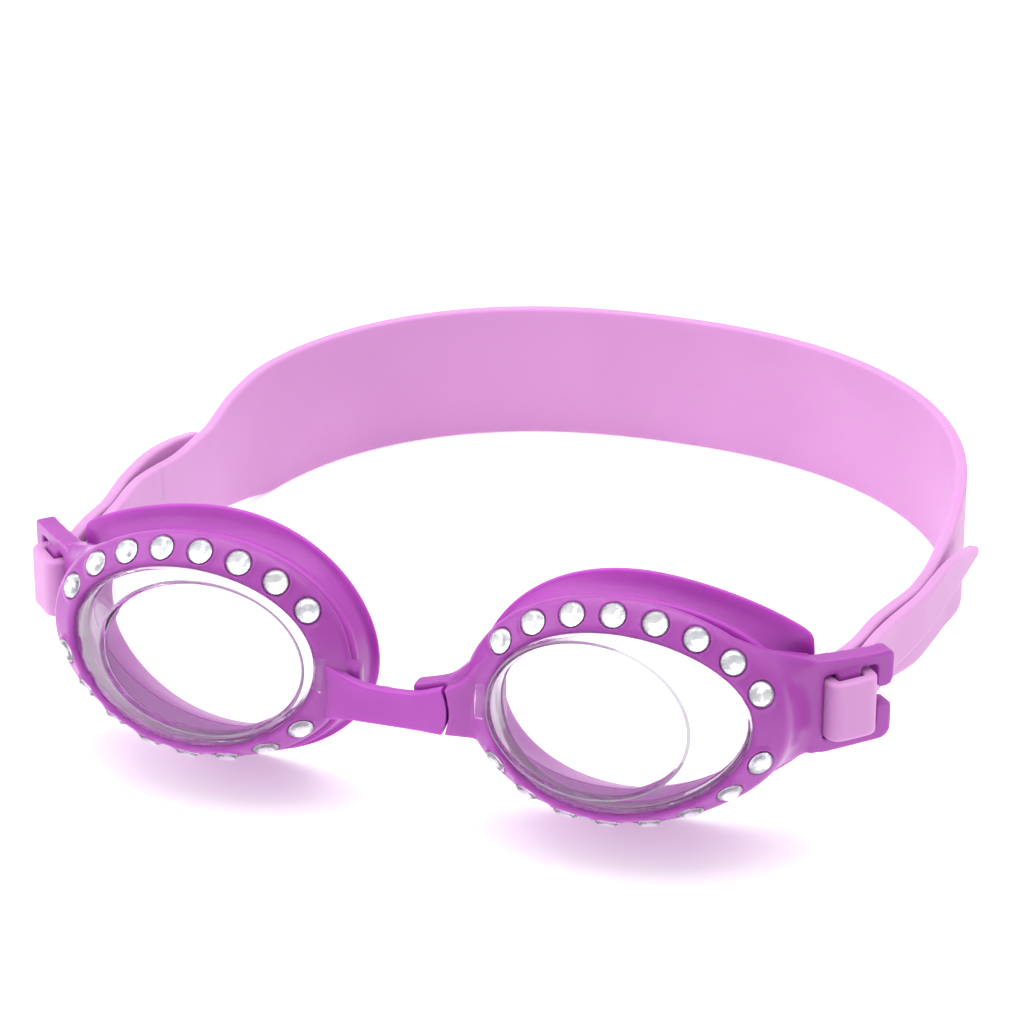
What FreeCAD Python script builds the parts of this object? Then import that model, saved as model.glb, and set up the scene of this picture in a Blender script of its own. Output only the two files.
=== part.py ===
import FreeCAD, Part
import math
import os
from FreeCAD import Vector

# Child's swim goggles, standing on a surface: +X to the wearer's left lug, +Y to the back of the head,
# +Z up. The origin is the centre of the bounding box, on the surface. All lengths are millimetres.

SIZES = {
    # where the eye cups sit
    "cup_side_offset": 33.0,
    "cup_front_offset": 67.9,
    "cup_height": 24.1,
    "cup_turn": 3.3,
    "cup_pitch": 9.6,
    "cup_roll": 1.1,
    # the row of stones round each eye, which drives the whole rim
    "row_half_width": 22.0,
    "row_half_height": 15.5,
    "row_egg": -0.054,
    "row_bow": 0.0058,
    "slope_top": 37.0,
    "slope_extra_below": 31.0,
    "stones_each_row": 8,
    "upper_row_start": 21.6,
    "upper_row_end": 144.7,
    "lower_row_start": 214.3,
    "lower_row_end": 340.1,
    "stone_radius": 1.95,
    "stone_table_radius": 1.15,
    "stone_height": 1.2,
    "bezel_radius": 2.4,
    "bezel_height": 0.3,
    "bezel_depth": 1.2,
    "stone_seat_depth": 0.75,
    # section of the eye rim
    "rim_half_face": 2.4,
    "rim_inner_roll": 0.8,
    "rim_wall": 1.8,
    "neck_inset": 0.4,
    "neck_start": 3.2,
    "rear_depth": 7.6,
    "rear_sweep": 2.0,
    "rear_lift": 0.6,
    "bore_inset": 2.2,
    "lip_inset": 1.0,
    "lip_depth": 3.6,
    "lip_thickness": 1.0,
    # clear lens
    "lens_gap": 0.12,
    "lens_thickness": 1.7,
    "window_centre_in": 3.7,
    "window_centre_up": 0.4,
    "window_half_width": 15.5,
    "window_half_height": 12.0,
    "window_depth": 3.4,
    "window_turn": 0.136,
    "window_lift": 0.047,
    "tab_width": 3.2,
    "tab_height": 5.2,
    "tab_thickness": 0.9,
    # soft face gasket
    "collar_step": 1.3,
    "flange_half_width": 26.6,
    "flange_temple_width": 30.5,
    "flange_temple_tuck": 10.0,
    "flange_half_height": 20.1,
    "flange_straighten_top": 3.2,
    "flange_straighten_bottom": 4.8,
    "flange_shift_out": 2.0,
    "flange_shift_down": 1.2,
    "flange_depth": 15.8,
    "flange_tilt": 3.3,
    "flange_sweep": 1.9,
    "flange_twist": 0.7,
    "flange_thickness": 1.1,
    "flange_outer_cut": 25.2,
    "relief_start": 24.0,
    "relief_top": 5.5,
    "relief_bottom": -8.5,
    "relief_front": 12.5,
    # strap lug, in the lug's own frame: along the lug, then backwards from its front face
    "lug_angle": 45.0,
    "lug_face": 30.9,
    "lug_thickness": 3.0,
    "lug_start": 50.6,
    "lug_end": 64.6,
    "lug_top": 5.1,
    "lug_bottom": -9.1,
    "slot_start": 52.6,
    "slot_end": 62.1,
    "slot_top": 3.6,
    "slot_bottom": -6.7,
    "gap_top": -0.65,
    "gap_bottom": -3.2,
    "bar_start": 54.75,
    "bar_end": 59.2,
    "bar_setback": -0.55,
    "bar_thickness": 3.1,
    "root_low_angle": -62.0,
    "root_high_angle": 66.0,
    "root_low_end": -8.9,
    "root_high_end": 6.5,
    "root_end": 51.6,
    "root_arrive": 9.0,
    "root_leave_middle": 7.0,
    "root_leave_edge": 15.0,
    "root_start": 1.9,
    "root_thickness_back": 2.7,
    "root_edge_power": 1.5,
    "root_middle_out": 0.8,
    "root_middle_back": 0.6,
    "root_edge_out": 0.25,
    "root_edge_back": 0.55,
    # nose bridge
    "hinge_offset": 4.2,
    "hinge_depth": 4.5,
    "bead_radius": 1.45,
    "bead_clearance": 0.06,
    "barrel_radius": 2.5,
    "tongue_thickness": 1.3,
    "tongue_mouth": 2.7,
    "tongue_top": -2.0,
    "tongue_bottom": -7.5,
    "band_left_end": 7.8,
    "band_right_end": 6.4,
    "band_front": 0.9,
    "band_thickness": 1.9,
    "band_top": -1.7,
    "band_bottom": -7.9,
    "band_flare": 0.9,
    "band_flare_length": 3.0,
    "root_front": 3.2,
    "root_thickness": 2.6,
    "hood_top": -0.2,
    "hood_bottom": -1.55,
    "hood_end": 1.0,
    "hood_outer_end": 12.3,
    "tongue_face_start": 7.3,
    "tongue_face_end": 12.0,
    "tongue_face_front": 1.3,
    "tongue_face_sunk": 0.4,
    # strap
    "strap_thickness": 1.9,
    "strap_end_width": 9.3,
    "strap_end_bottom": -6.6,
    "loop_half_width": 62.05,
    "loop_depth": 60.65,
    "loop_start": 79.5,
    "loop_power": 2.25,
    "wrap_start": 52.7,
    "wrap_end": 61.25,
    "wrap_front": 33.5,
    "wrap_rear": 27.0,
    "wrap_clearance": 0.1,
}

document = FreeCAD.newDocument("swim_goggles")
sheet = document.addObject("Spreadsheet::Sheet", "Sizes")
for row, (name, value) in enumerate(SIZES.items(), start=1):
    sheet.set("A%d" % row, name)
    sheet.set("B%d" % row, str(value))
    sheet.setAlias("B%d" % row, name)
document.recompute()


def size(name):
    """The value of one named dimension, read from the sheet."""
    return float(sheet.get(name))


SUBPARTS = []


def subpart(piece, label):
    """Mark an object as one finished piece of the goggles."""
    piece.Label = label
    SUBPARTS.append(piece)
    return piece


def bind(piece, **formulas):
    """Bind properties of an object to the sheet. A double underscore stands for a dot."""
    for key, formula in formulas.items():
        piece.setExpression(key.replace("__", "."), formula)
    return piece


def shape_piece(name, shape):
    """A piece whose free-form shape is made by Part's own functions."""
    piece = document.addObject("Part::Feature", name)
    piece.Shape = shape
    return piece


def cut(name, base, tool):
    piece = document.addObject("Part::Cut", name)
    piece.Base = base
    piece.Tool = tool
    return piece


def fuse(name, pieces):
    piece = document.addObject("Part::MultiFuse", name)
    piece.Shapes = pieces
    return piece


def mirror(name, source):
    """The same piece on the other side of the nose."""
    piece = document.addObject("Part::Mirroring", name)
    piece.Source = source
    piece.Base = (0, 0, 0)
    piece.Normal = (1, 0, 0)
    return piece


# ---------------------------------------------------------------------------------------------
# The cup's own frame: u towards the temple, v up, w outwards from the face
# ---------------------------------------------------------------------------------------------

def cup_placement():
    """The +X cup: turned to the side, pitched up and rolled a little, then moved to its place."""
    turn = math.radians(size("cup_turn"))
    pitch = math.radians(size("cup_pitch"))
    roll = math.radians(size("cup_roll"))
    across = Vector(math.cos(turn), math.sin(turn), 0)
    ahead = Vector(math.sin(turn), -math.cos(turn), 0)
    up = Vector(0, 0, 1)
    w_axis = ahead * math.cos(pitch) + up * math.sin(pitch)
    v_flat = up * math.cos(pitch) - ahead * math.sin(pitch)
    u_axis = across * math.cos(roll) + v_flat * math.sin(roll)
    v_axis = v_flat * math.cos(roll) - across * math.sin(roll)
    centre = Vector(size("cup_side_offset"), -size("cup_front_offset"), size("cup_height"))
    matrix = FreeCAD.Matrix(
        u_axis.x, v_axis.x, w_axis.x, centre.x,
        u_axis.y, v_axis.y, w_axis.y, centre.y,
        u_axis.z, v_axis.z, w_axis.z, centre.z,
        0, 0, 0, 1)
    return FreeCAD.Placement(matrix)


CUP = cup_placement()
RAIL_POINTS = 48


def row_point(angle):
    """A point of the stone row: an egg-shaped oval that bows back at the temple and the nose."""
    u = size("row_half_width") * math.cos(angle)
    v = size("row_half_height") * math.sin(angle) * (1 + size("row_egg") * math.cos(angle))
    return Vector(u, v, -size("row_bow") * u * u)


def row_outwards(angle):
    """The direction square to the stone row, away from the eye, in the cup's plane."""
    step = 0.01
    along = row_point(angle + step) - row_point(angle - step)
    outwards = Vector(along.y, -along.x, 0)
    outwards.normalize()
    return outwards


def face_slope(angle):
    """How far the rim's face leans outwards: gently above the eye, steeply below it."""
    below = max(0.0, -math.sin(angle))
    return math.radians(size("slope_top") + size("slope_extra_below") * below ** 1.5)


def stone_axis(angle):
    """The direction that a stone on the rim's face looks."""
    slope = face_slope(angle)
    return row_outwards(angle) * math.sin(slope) + Vector(0, 0, math.cos(slope))


def face_point(angle, along):
    """A point of the sloping face: a distance outwards down the slope from the stone row."""
    slope = face_slope(angle)
    down = row_outwards(angle) * math.cos(slope) - Vector(0, 0, math.sin(slope))
    return row_point(angle) + down * along


def opening_point(angle, inset=0.0, depth=0.0):
    """The rim's inner front edge, where the lens shows, or a point further in or behind it."""
    roll = size("rim_inner_roll")
    crest = face_point(angle, -size("rim_half_face"))
    return crest - row_outwards(angle) * (roll + inset) - Vector(0, 0, roll * 0.75 + depth)


def rear_depth(angle):
    """The plane where the gasket meets the rim, swept back at the temple."""
    sweep = size("rear_sweep") * math.cos(angle)
    lift = size("rear_lift") * math.sin(angle)
    return -size("rear_depth") - sweep + lift


def rear_point(angle, outset, behind=0.0):
    """A point at a distance outside the stone row, on or behind the joint with the gasket."""
    flat = row_point(angle) + row_outwards(angle) * outset
    return Vector(flat.x, flat.y, rear_depth(angle) - behind)


def flange_point(angle, inset=0.0, behind=0.0):
    """The gasket's outer edge. Towards the temple it runs straighter, and tucks in below."""
    across, up = math.cos(angle), math.sin(angle)
    width, height = size("flange_half_width"), size("flange_half_height")
    if across > 0:
        width = size("flange_temple_width")
        straighten = "flange_straighten_top" if up > 0 else "flange_straighten_bottom"
        height -= size(straighten) * across * abs(up)
        width -= size("flange_temple_tuck") * math.sqrt(max(0.0, -up))
    u = size("flange_shift_out") + (width - inset) * across
    v = -size("flange_shift_down") + (height - inset) * up
    w = -size("flange_depth") + size("flange_tilt") * up
    w -= size("flange_sweep") * across + size("flange_twist") * math.cos(2 * angle)
    return Vector(u, v, w - behind)


def window_point(angle, inset=0.0, depth=0.0):
    """The edge of the lens's flat front window, nearer the nose and turned to look ahead."""
    u = -size("window_centre_in") + (size("window_half_width") - inset) * math.cos(angle)
    v = size("window_centre_up") + (size("window_half_height") - inset) * math.sin(angle)
    w = size("window_depth") + size("window_turn") * (u + size("window_centre_in"))
    w += size("window_lift") * (v - size("window_centre_up"))
    return Vector(u, v, w - depth)


def rail(point_at):
    """A closed smooth curve through the points of one edge of a rim."""
    curve = Part.BSplineCurve()
    points = [point_at(2 * math.pi * i / RAIL_POINTS) for i in range(RAIL_POINTS)]
    curve.interpolate(Points=points, PeriodicFlag=True)
    return curve.toShape()


def closed_solid(faces):
    shell = Part.makeShell(faces)
    shell.sewShape()
    solid = Part.makeSolid(shell)
    if solid.Volume < 0:
        solid.reverse()
    return solid


def ring_solid(rails):
    """A ring whose section has one corner on each rail."""
    neighbours = rails[1:] + rails[:1]
    return closed_solid([Part.makeRuledSurface(a, b) for a, b in zip(rails, neighbours)])


def cap_solid(rails):
    """A shell closed by a flat face on its first rail and another on its last."""
    faces = [Part.makeRuledSurface(a, b) for a, b in zip(rails[:-1], rails[1:])]
    faces.append(Part.Face(Part.Wire([rails[0]])))
    faces.append(Part.Face(Part.Wire([rails[-1]])))
    return closed_solid(faces)


# ---------------------------------------------------------------------------------------------
# Stones
# ---------------------------------------------------------------------------------------------

def row_angles(start, end, count):
    """Angles of stones spaced evenly along the row from one angle to another."""
    steps = 400
    angles = [math.radians(start + (end - start) * i / steps) for i in range(steps + 1)]
    walked = [0.0]
    for before, after in zip(angles[:-1], angles[1:]):
        walked.append(walked[-1] + (row_point(after) - row_point(before)).Length)
    chosen = []
    for number in range(count):
        target = walked[-1] * number / (count - 1)
        chosen.append(min(zip(walked, angles), key=lambda pair: abs(pair[0] - target))[1])
    return chosen


def stone_angles():
    count = int(size("stones_each_row"))
    upper = row_angles(size("upper_row_start"), size("upper_row_end"), count)
    lower = row_angles(size("lower_row_start"), size("lower_row_end"), count)
    return upper + lower


def on_face(angle, height):
    """A placement on the rim's face, its Z axis along the stone's own axis."""
    axis = stone_axis(angle)
    turn = FreeCAD.Rotation(Vector(0, 0, 1), axis)
    return FreeCAD.Placement(row_point(angle) + axis * height, turn)


def make_stones():
    stones = []
    for number, angle in enumerate(stone_angles(), start=1):
        stone = document.addObject("Part::Cone", "StoneBody%02d" % number)
        bind(stone, Radius1="Sizes.stone_radius", Radius2="Sizes.stone_table_radius",
             Height="Sizes.stone_height")
        seat = size("bezel_height") - size("stone_seat_depth")
        stone.Placement = CUP.multiply(on_face(angle, seat))
        subpart(stone, "right_stone_%02d" % number)
        stones.append(stone)
    for number, stone in enumerate(stones, start=1):
        subpart(mirror("LeftStone%02d" % number, stone), "left_stone_%02d" % number)


# ---------------------------------------------------------------------------------------------
# Eye rim with its lug and its nose tongue
# ---------------------------------------------------------------------------------------------

def make_rim():
    """The ring that holds the lens: sloping face, side wall, neck, rear bore and inner lip."""
    half = size("rim_half_face")
    wall = size("rim_wall")
    neck = -size("neck_inset")
    lip = size("lip_inset")
    lip_front = size("lip_depth")
    lip_back = lip_front + size("lip_thickness")

    def side_wall(angle):
        return face_point(angle, half) - Vector(0, 0, wall)

    def neck_front(angle):
        level = side_wall(angle).z - (size("neck_start") - wall)
        flat = rear_point(angle, neck)
        return Vector(flat.x, flat.y, max(level, flat.z + 0.6))

    return ring_solid([
        rail(lambda angle: opening_point(angle)),
        rail(lambda angle: face_point(angle, -half)),
        rail(lambda angle: face_point(angle, half)),
        rail(side_wall),
        rail(neck_front),
        rail(lambda angle: rear_point(angle, neck)),
        rail(lambda angle: rear_point(angle, -size("bore_inset"))),
        rail(lambda angle: opening_point(angle, 0.0, lip_back)),
        rail(lambda angle: opening_point(angle, lip, lip_back)),
        rail(lambda angle: opening_point(angle, lip, lip_front)),
        rail(lambda angle: opening_point(angle, 0.0, lip_front)),
    ])


def make_bore():
    """The free space inside the rim, which the lug's and the tongue's roots must not enter."""
    lip_back = size("lip_depth") + size("lip_thickness")
    return cap_solid([
        rail(lambda angle: Vector(*opening_point(angle)[0:2], 8.0)),
        rail(lambda angle: opening_point(angle)),
        rail(lambda angle: opening_point(angle, 0.0, lip_back)),
        rail(lambda angle: rear_point(angle, -size("bore_inset"))),
        rail(lambda angle: Vector(*rear_point(angle, -size("bore_inset"))[0:2], -16.0)),
    ])


def bezels():
    """A low round setting under each stone, and the seat that is cut into it."""
    settings = []
    seats = []
    for number, angle in enumerate(stone_angles(), start=1):
        setting = document.addObject("Part::Cylinder", "Setting%02d" % number)
        bind(setting, Radius="Sizes.bezel_radius", Height="Sizes.bezel_height + Sizes.bezel_depth")
        setting.Placement = on_face(angle, -size("bezel_depth"))
        settings.append(setting)
        seat = document.addObject("Part::Cylinder", "Seat%02d" % number)
        bind(seat, Radius="Sizes.stone_radius + 0.03", Height="Sizes.stone_height")
        seat.Placement = on_face(angle, size("bezel_height") - size("stone_seat_depth"))
        seats.append(seat)
    return settings, seats


def box(name, **formulas):
    piece = document.addObject("Part::Box", name)
    return bind(piece, **formulas)


def make_lug():
    """The flat lug: a window for the strap, a bar across it, and a gap at its outer end."""
    plate = box(
        "LugPlate", Length="Sizes.lug_end - Sizes.lug_start", Width="Sizes.lug_thickness",
        Height="Sizes.lug_top - Sizes.lug_bottom", Placement__Base__x="Sizes.lug_start",
        Placement__Base__y="-Sizes.lug_face", Placement__Base__z="Sizes.lug_bottom")
    window = box(
        "LugWindow", Length="Sizes.slot_end - Sizes.slot_start", Width="Sizes.lug_thickness + 2",
        Height="Sizes.slot_top - Sizes.slot_bottom", Placement__Base__x="Sizes.slot_start",
        Placement__Base__y="-Sizes.lug_face - 1", Placement__Base__z="Sizes.slot_bottom")
    gap = box(
        "LugGap", Length="Sizes.lug_end - Sizes.slot_end + 2", Width="Sizes.lug_thickness + 2",
        Height="Sizes.gap_top - Sizes.gap_bottom", Placement__Base__x="Sizes.slot_end - 1",
        Placement__Base__y="-Sizes.lug_face - 1", Placement__Base__z="Sizes.gap_bottom")
    openings = fuse("LugOpenings", [window, gap])
    opened = cut("LugOpened", plate, openings)
    bar = box(
        "LugBar", Length="Sizes.bar_end - Sizes.bar_start", Width="Sizes.bar_thickness",
        Height="Sizes.slot_top - Sizes.slot_bottom + 1", Placement__Base__x="Sizes.bar_start",
        Placement__Base__y="-Sizes.lug_face + Sizes.bar_setback",
        Placement__Base__z="Sizes.slot_bottom - 0.5")
    lug = fuse("Lug", [opened, bar])
    lug.Placement = FreeCAD.Placement(
        Vector(0, -size("cup_front_offset"), size("cup_height")),
        FreeCAD.Rotation(Vector(0, 0, 1), size("lug_angle")))
    return lug


def lug_point(along, ahead):
    """A point in plan: a distance along the lug, and a distance ahead of the lug's own axis."""
    angle = math.radians(size("lug_angle"))
    x = along * math.cos(angle) + ahead * math.sin(angle)
    y = along * math.sin(angle) - ahead * math.cos(angle)
    return Vector(x, y - size("cup_front_offset"), 0)


def root_front(across, along):
    """The flare's outer skin: across from the rim's lower side to its upper, along to the lug.

    In its middle it leaves down the rim's own slope, and at its two edges along the rim."""
    low, high = size("root_low_angle"), size("root_high_angle")
    angle = math.radians(low + (high - low) * across)
    edge = 2 * across - 1
    edge_share = abs(edge) ** size("root_edge_power")
    middle_share = 1 - edge_share
    step = 0.01
    round_rim = row_point(angle - step) - row_point(angle + step)
    round_rim.normalize()
    middle_way = row_outwards(angle) * size("root_middle_out") - Vector(0, 0, size("root_middle_back"))
    edge_way = row_outwards(angle) * size("root_edge_out") - Vector(0, 0, size("root_edge_back"))
    edge_way = edge_way + round_rim * math.copysign(1, edge)
    leave = middle_way * middle_share + edge_way * edge_share
    leave.normalize()
    start = CUP.multVec(face_point(angle, size("root_start")))
    leave = CUP.Rotation.multVec(leave)
    leave = leave * (size("root_leave_middle") * middle_share + size("root_leave_edge") * edge_share)
    bottom, top = size("root_low_end"), size("root_high_end")
    end = lug_point(size("root_end"), size("lug_face"))
    end.z = size("cup_height") + bottom + (top - bottom) * across
    arrive = lug_point(1, 0) - lug_point(0, 0)
    arrive = arrive * size("root_arrive")
    t = along
    point = start * ((1 + 2 * t) * (1 - t) ** 2) + end * (t * t * (3 - 2 * t))
    return point + leave * (t * (1 - t) ** 2) - arrive * (t * t * (1 - t))


def root_back(across, along):
    """The flare's inner skin, a wall's thickness behind the outer one."""
    step = 0.02
    over = root_front(across + step, along) - root_front(across - step, along)
    ahead = root_front(across, along + step) - root_front(across, along - step)
    normal = ahead.cross(over)
    normal.normalize()
    return root_front(across, along) - normal * size("root_thickness_back")


def make_lug_root():
    """The flare that carries the lug, from the temple side of the rim to the lug's plate."""
    skins = []
    for point_at in (root_front, root_back):
        grid = [[point_at(i / 8, j / 6) for j in range(7)] for i in range(9)]
        surface = Part.BSplineSurface()
        surface.interpolate(grid)
        skins.append(surface.toShape())
    sides = [Part.makeRuledSurface(a, b) for a, b in zip(skins[0].Edges, skins[1].Edges)]
    return shape_piece("LugRoot", closed_solid(skins + sides))


def make_tongue():
    """The tongue on the nose side, ending in the round bead that the bridge holds."""
    bead = document.addObject("Part::Cylinder", "Bead")
    bind(bead, Radius="Sizes.bead_radius", Height="Sizes.tongue_top - Sizes.tongue_bottom",
         Placement__Base__x="Sizes.hinge_offset",
         Placement__Base__y="Sizes.hinge_depth - Sizes.cup_front_offset",
         Placement__Base__z="Sizes.cup_height + Sizes.tongue_bottom")
    neck = box(
        "Tongue", Length="Sizes.hood_outer_end - Sizes.hinge_offset",
        Width="Sizes.tongue_thickness",
        Height="Sizes.tongue_top - Sizes.tongue_bottom", Placement__Base__x="Sizes.hinge_offset",
        Placement__Base__y="Sizes.hinge_depth - Sizes.cup_front_offset - Sizes.tongue_thickness / 2",
        Placement__Base__z="Sizes.cup_height + Sizes.tongue_bottom")
    root = box(
        "TongueRoot", Length="Sizes.hood_outer_end - Sizes.hinge_offset - Sizes.barrel_radius - 0.6",
        Width="Sizes.root_thickness", Height="Sizes.hood_top - Sizes.tongue_bottom",
        Placement__Base__x="Sizes.hinge_offset + Sizes.barrel_radius + 0.6",
        Placement__Base__y="Sizes.root_front - Sizes.cup_front_offset",
        Placement__Base__z="Sizes.cup_height + Sizes.tongue_bottom")
    return [bead, neck, root]


def make_hood():
    """A lid over the bridge's right barrel. The left barrel has none."""
    return box(
        "Hood", Length="Sizes.hood_outer_end - Sizes.hood_end", Width="Sizes.root_thickness",
        Height="Sizes.hood_top - Sizes.hood_bottom", Placement__Base__x="Sizes.hood_end",
        Placement__Base__y="Sizes.root_front - Sizes.cup_front_offset",
        Placement__Base__z="Sizes.cup_height + Sizes.hood_bottom")


def make_tongue_face():
    """The raised face beside the bridge's right end, level with the band."""
    return box(
        "TongueFace", Length="Sizes.tongue_face_end - Sizes.tongue_face_start",
        Width="Sizes.root_front - Sizes.tongue_face_front + Sizes.tongue_face_sunk",
        Height="Sizes.hood_top - Sizes.tongue_bottom",
        Placement__Base__x="Sizes.tongue_face_start",
        Placement__Base__y="Sizes.tongue_face_front - Sizes.cup_front_offset",
        Placement__Base__z="Sizes.cup_height + Sizes.tongue_bottom")


def make_frames():
    rim = shape_piece("Rim", make_rim())
    settings, seats = bezels()
    studded = fuse("RimWithSettings", [rim] + settings)
    studded.Placement = CUP
    whole = fuse("FrameWhole", [studded, make_lug(), make_lug_root()] + make_tongue())
    all_seats = fuse("Seats", seats)
    all_seats.Placement = CUP
    joined = cut("FrameJoined", whole, all_seats)
    bore = shape_piece("Bore", make_bore())
    bore.Placement = CUP
    bored = cut("FrameBored", joined, bore)
    right = fuse("RightFrame", [bored, make_hood(), make_tongue_face()])
    subpart(right, "right_frame")
    subpart(mirror("LeftFrame", bored), "left_frame")


# ---------------------------------------------------------------------------------------------
# Lens and gasket
# ---------------------------------------------------------------------------------------------

def make_lenses():
    gap = size("lens_gap")
    thick = size("lens_thickness")
    seat = size("lip_depth") - gap
    shell = cap_solid([
        rail(lambda angle: window_point(angle)),
        rail(lambda angle: opening_point(angle, gap, 0.0)),
        rail(lambda angle: opening_point(angle, gap, seat)),
        rail(lambda angle: opening_point(angle, gap + thick, seat)),
        rail(lambda angle: opening_point(angle, gap + thick, 0.9)),
        rail(lambda angle: window_point(angle, thick * 0.9, thick)),
    ])
    body = shape_piece("LensShell", shell)
    nose = opening_point(math.pi)
    tab = box("LensTab", Length="Sizes.tab_width", Width="Sizes.tab_height",
              Height="Sizes.tab_thickness")
    tab.Placement.Base = Vector(nose.x - 2.0, nose.y - size("tab_height") / 2, nose.z + 2.6)
    lens = fuse("RightLens", [body, tab])
    lens.Placement = CUP
    subpart(lens, "right_lens")
    subpart(mirror("LeftLens", lens), "left_lens")


def collar_outset(angle):
    """The gasket's collar stands out least above the eye and most at its two ends."""
    step = size("collar_step")
    return step - 0.7 * math.sin(angle) + step * math.cos(angle) ** 2


def make_gaskets():
    """The soft face seal: a collar behind the rim, a valley, and the flange that meets the face."""
    thick = size("flange_thickness")
    neck = -size("neck_inset")
    shell = ring_solid([
        rail(lambda angle: rear_point(angle, neck)),
        rail(lambda angle: rear_point(angle, collar_outset(angle), 1.0)),
        rail(lambda angle: rear_point(angle, collar_outset(angle) - 0.5, 2.0)),
        rail(lambda angle: flange_point(angle)),
        rail(lambda angle: flange_point(angle, 0.2, thick)),
        rail(lambda angle: flange_point(angle, 3.4, thick * 0.8)),
        rail(lambda angle: rear_point(angle, -size("bore_inset") + 0.6, 2.6)),
        rail(lambda angle: rear_point(angle, -size("bore_inset"))),
    ])
    body = shape_piece("GasketShell", shell)
    body.Placement = CUP
    trim = box("GasketTrim", Length="10", Width="60", Height="30",
               Placement__Base__x="Sizes.flange_outer_cut")
    trim.Placement.Base.y = -30
    trim.Placement.Base.z = -34
    relief = box("StrapRelief", Length="20", Width="Sizes.relief_top - Sizes.relief_bottom",
                 Height="20", Placement__Base__x="Sizes.relief_start",
                 Placement__Base__y="Sizes.relief_bottom",
                 Placement__Base__z="-Sizes.relief_front - 20")
    trims = fuse("GasketTrims", [trim, relief])
    trims.Placement = CUP
    neighbours = [document.getObject(name) for name in ("Lug", "LugRoot", "TongueRoot")]
    gasket = cut("RightGasket", body, fuse("GasketRoom", [trims] + neighbours))
    subpart(gasket, "right_gasket")
    subpart(mirror("LeftGasket", gasket), "left_gasket")


# ---------------------------------------------------------------------------------------------
# Nose bridge
# ---------------------------------------------------------------------------------------------

def make_bridge():
    """A flat band across the nose, with a barrel behind each end that holds a tongue's bead."""
    length = "Sizes.band_left_end + Sizes.band_right_end"
    band = box(
        "Band", Length=length, Width="Sizes.band_thickness",
        Height="Sizes.band_top - Sizes.band_bottom", Placement__Base__x="-Sizes.band_left_end",
        Placement__Base__y="Sizes.band_front - Sizes.cup_front_offset",
        Placement__Base__z="Sizes.cup_height + Sizes.band_bottom")
    flares = []
    for name, place in (("Right", "Sizes.band_right_end - Sizes.band_flare_length"),
                        ("Left", "-Sizes.band_left_end")):
        flares.append(box(
            name + "Flare", Length="Sizes.band_flare_length", Width="Sizes.band_thickness",
            Height="Sizes.band_top - Sizes.band_bottom + Sizes.band_flare",
            Placement__Base__x=place,
            Placement__Base__y="Sizes.band_front - Sizes.cup_front_offset",
            Placement__Base__z="Sizes.cup_height + Sizes.band_bottom"))
    barrels = []
    hollows = []
    for name, side in (("Right", 1), ("Left", -1)):
        centre = {
            "Placement__Base__x": "%d * Sizes.hinge_offset" % side,
            "Placement__Base__y": "Sizes.hinge_depth - Sizes.cup_front_offset",
        }
        barrel = document.addObject("Part::Cylinder", name + "Barrel")
        barrels.append(bind(
            barrel, Radius="Sizes.barrel_radius", Height="Sizes.band_top - Sizes.band_bottom",
            Placement__Base__z="Sizes.cup_height + Sizes.band_bottom", **centre))
        hollow = document.addObject("Part::Cylinder", name + "BeadHole")
        hollows.append(bind(
            hollow, Radius="Sizes.bead_radius + Sizes.bead_clearance", Height="20",
            Placement__Base__z="Sizes.cup_height + Sizes.band_bottom - 5", **centre))
        mouth = box(
            name + "Mouth", Length="6", Width="Sizes.tongue_mouth", Height="20",
            Placement__Base__y="Sizes.hinge_depth - Sizes.cup_front_offset - Sizes.tongue_mouth / 2",
            Placement__Base__z="Sizes.cup_height + Sizes.band_bottom - 5")
        start = "Sizes.hinge_offset" if side > 0 else "-Sizes.hinge_offset - 6"
        hollows.append(bind(mouth, Placement__Base__x=start))
    solid = fuse("BridgeSolid", [band] + flares + barrels)
    bridge = cut("NoseBridge", solid, fuse("BridgeHollows", hollows))
    subpart(bridge, "nose_bridge")


# ---------------------------------------------------------------------------------------------
# Strap
# ---------------------------------------------------------------------------------------------

# Plan of the strap's centre line on the +X side, as (distance behind the cups, distance from the
# middle), from the lug's slot to the place where the back loop starts.
ARM_PLAN = [(19.7, 57.35), (22.0, 57.9), (25.0, 58.75), (29.0, 59.7), (33.0, 60.3), (40.0, 60.85),
            (46.0, 61.75), (52.0, 62.55), (58.0, 62.8), (68.0, 62.5), (79.3, 62.05)]
TAIL_PLAN = [(24.4, 62.0), (26.0, 62.1), (29.0, 62.35), (33.0, 62.6), (40.0, 63.05), (46.0, 63.95),
             (52.0, 64.85), (60.0, 65.35), (70.0, 65.6), (83.0, 65.8)]
# Heights of the strap's upper and lower edges above the cup's centre, by distance behind the cups.
ARM_TOP = [(16.0, 2.7), (24.0, 2.3), (38.0, 1.4), (47.0, 0.4), (58.0, -1.6), (70.0, -3.6),
           (79.5, -3.9), (90.0, -2.0), (100.0, -0.9), (112.0, -0.8), (145.0, -0.8)]
ARM_BOTTOM = [(16.0, -6.6), (24.0, -6.9), (40.0, -10.2), (60.0, -14.9), (79.5, -19.3),
              (92.0, -22.4), (101.0, -24.1), (145.0, -24.1)]
TAIL_TOP = [(20.0, 2.7), (32.0, 2.1), (40.0, 1.0), (54.0, -0.4), (62.0, -1.1), (71.0, -2.9),
            (81.0, -5.9), (86.0, -7.6)]
TAIL_BOTTOM = [(20.0, -6.6), (40.0, -7.1), (55.0, -7.5), (66.0, -7.7), (76.0, -8.1), (86.0, -8.4)]


def spline(points):
    curve = Part.BSplineCurve()
    curve.interpolate(Points=points)
    return curve


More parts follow.
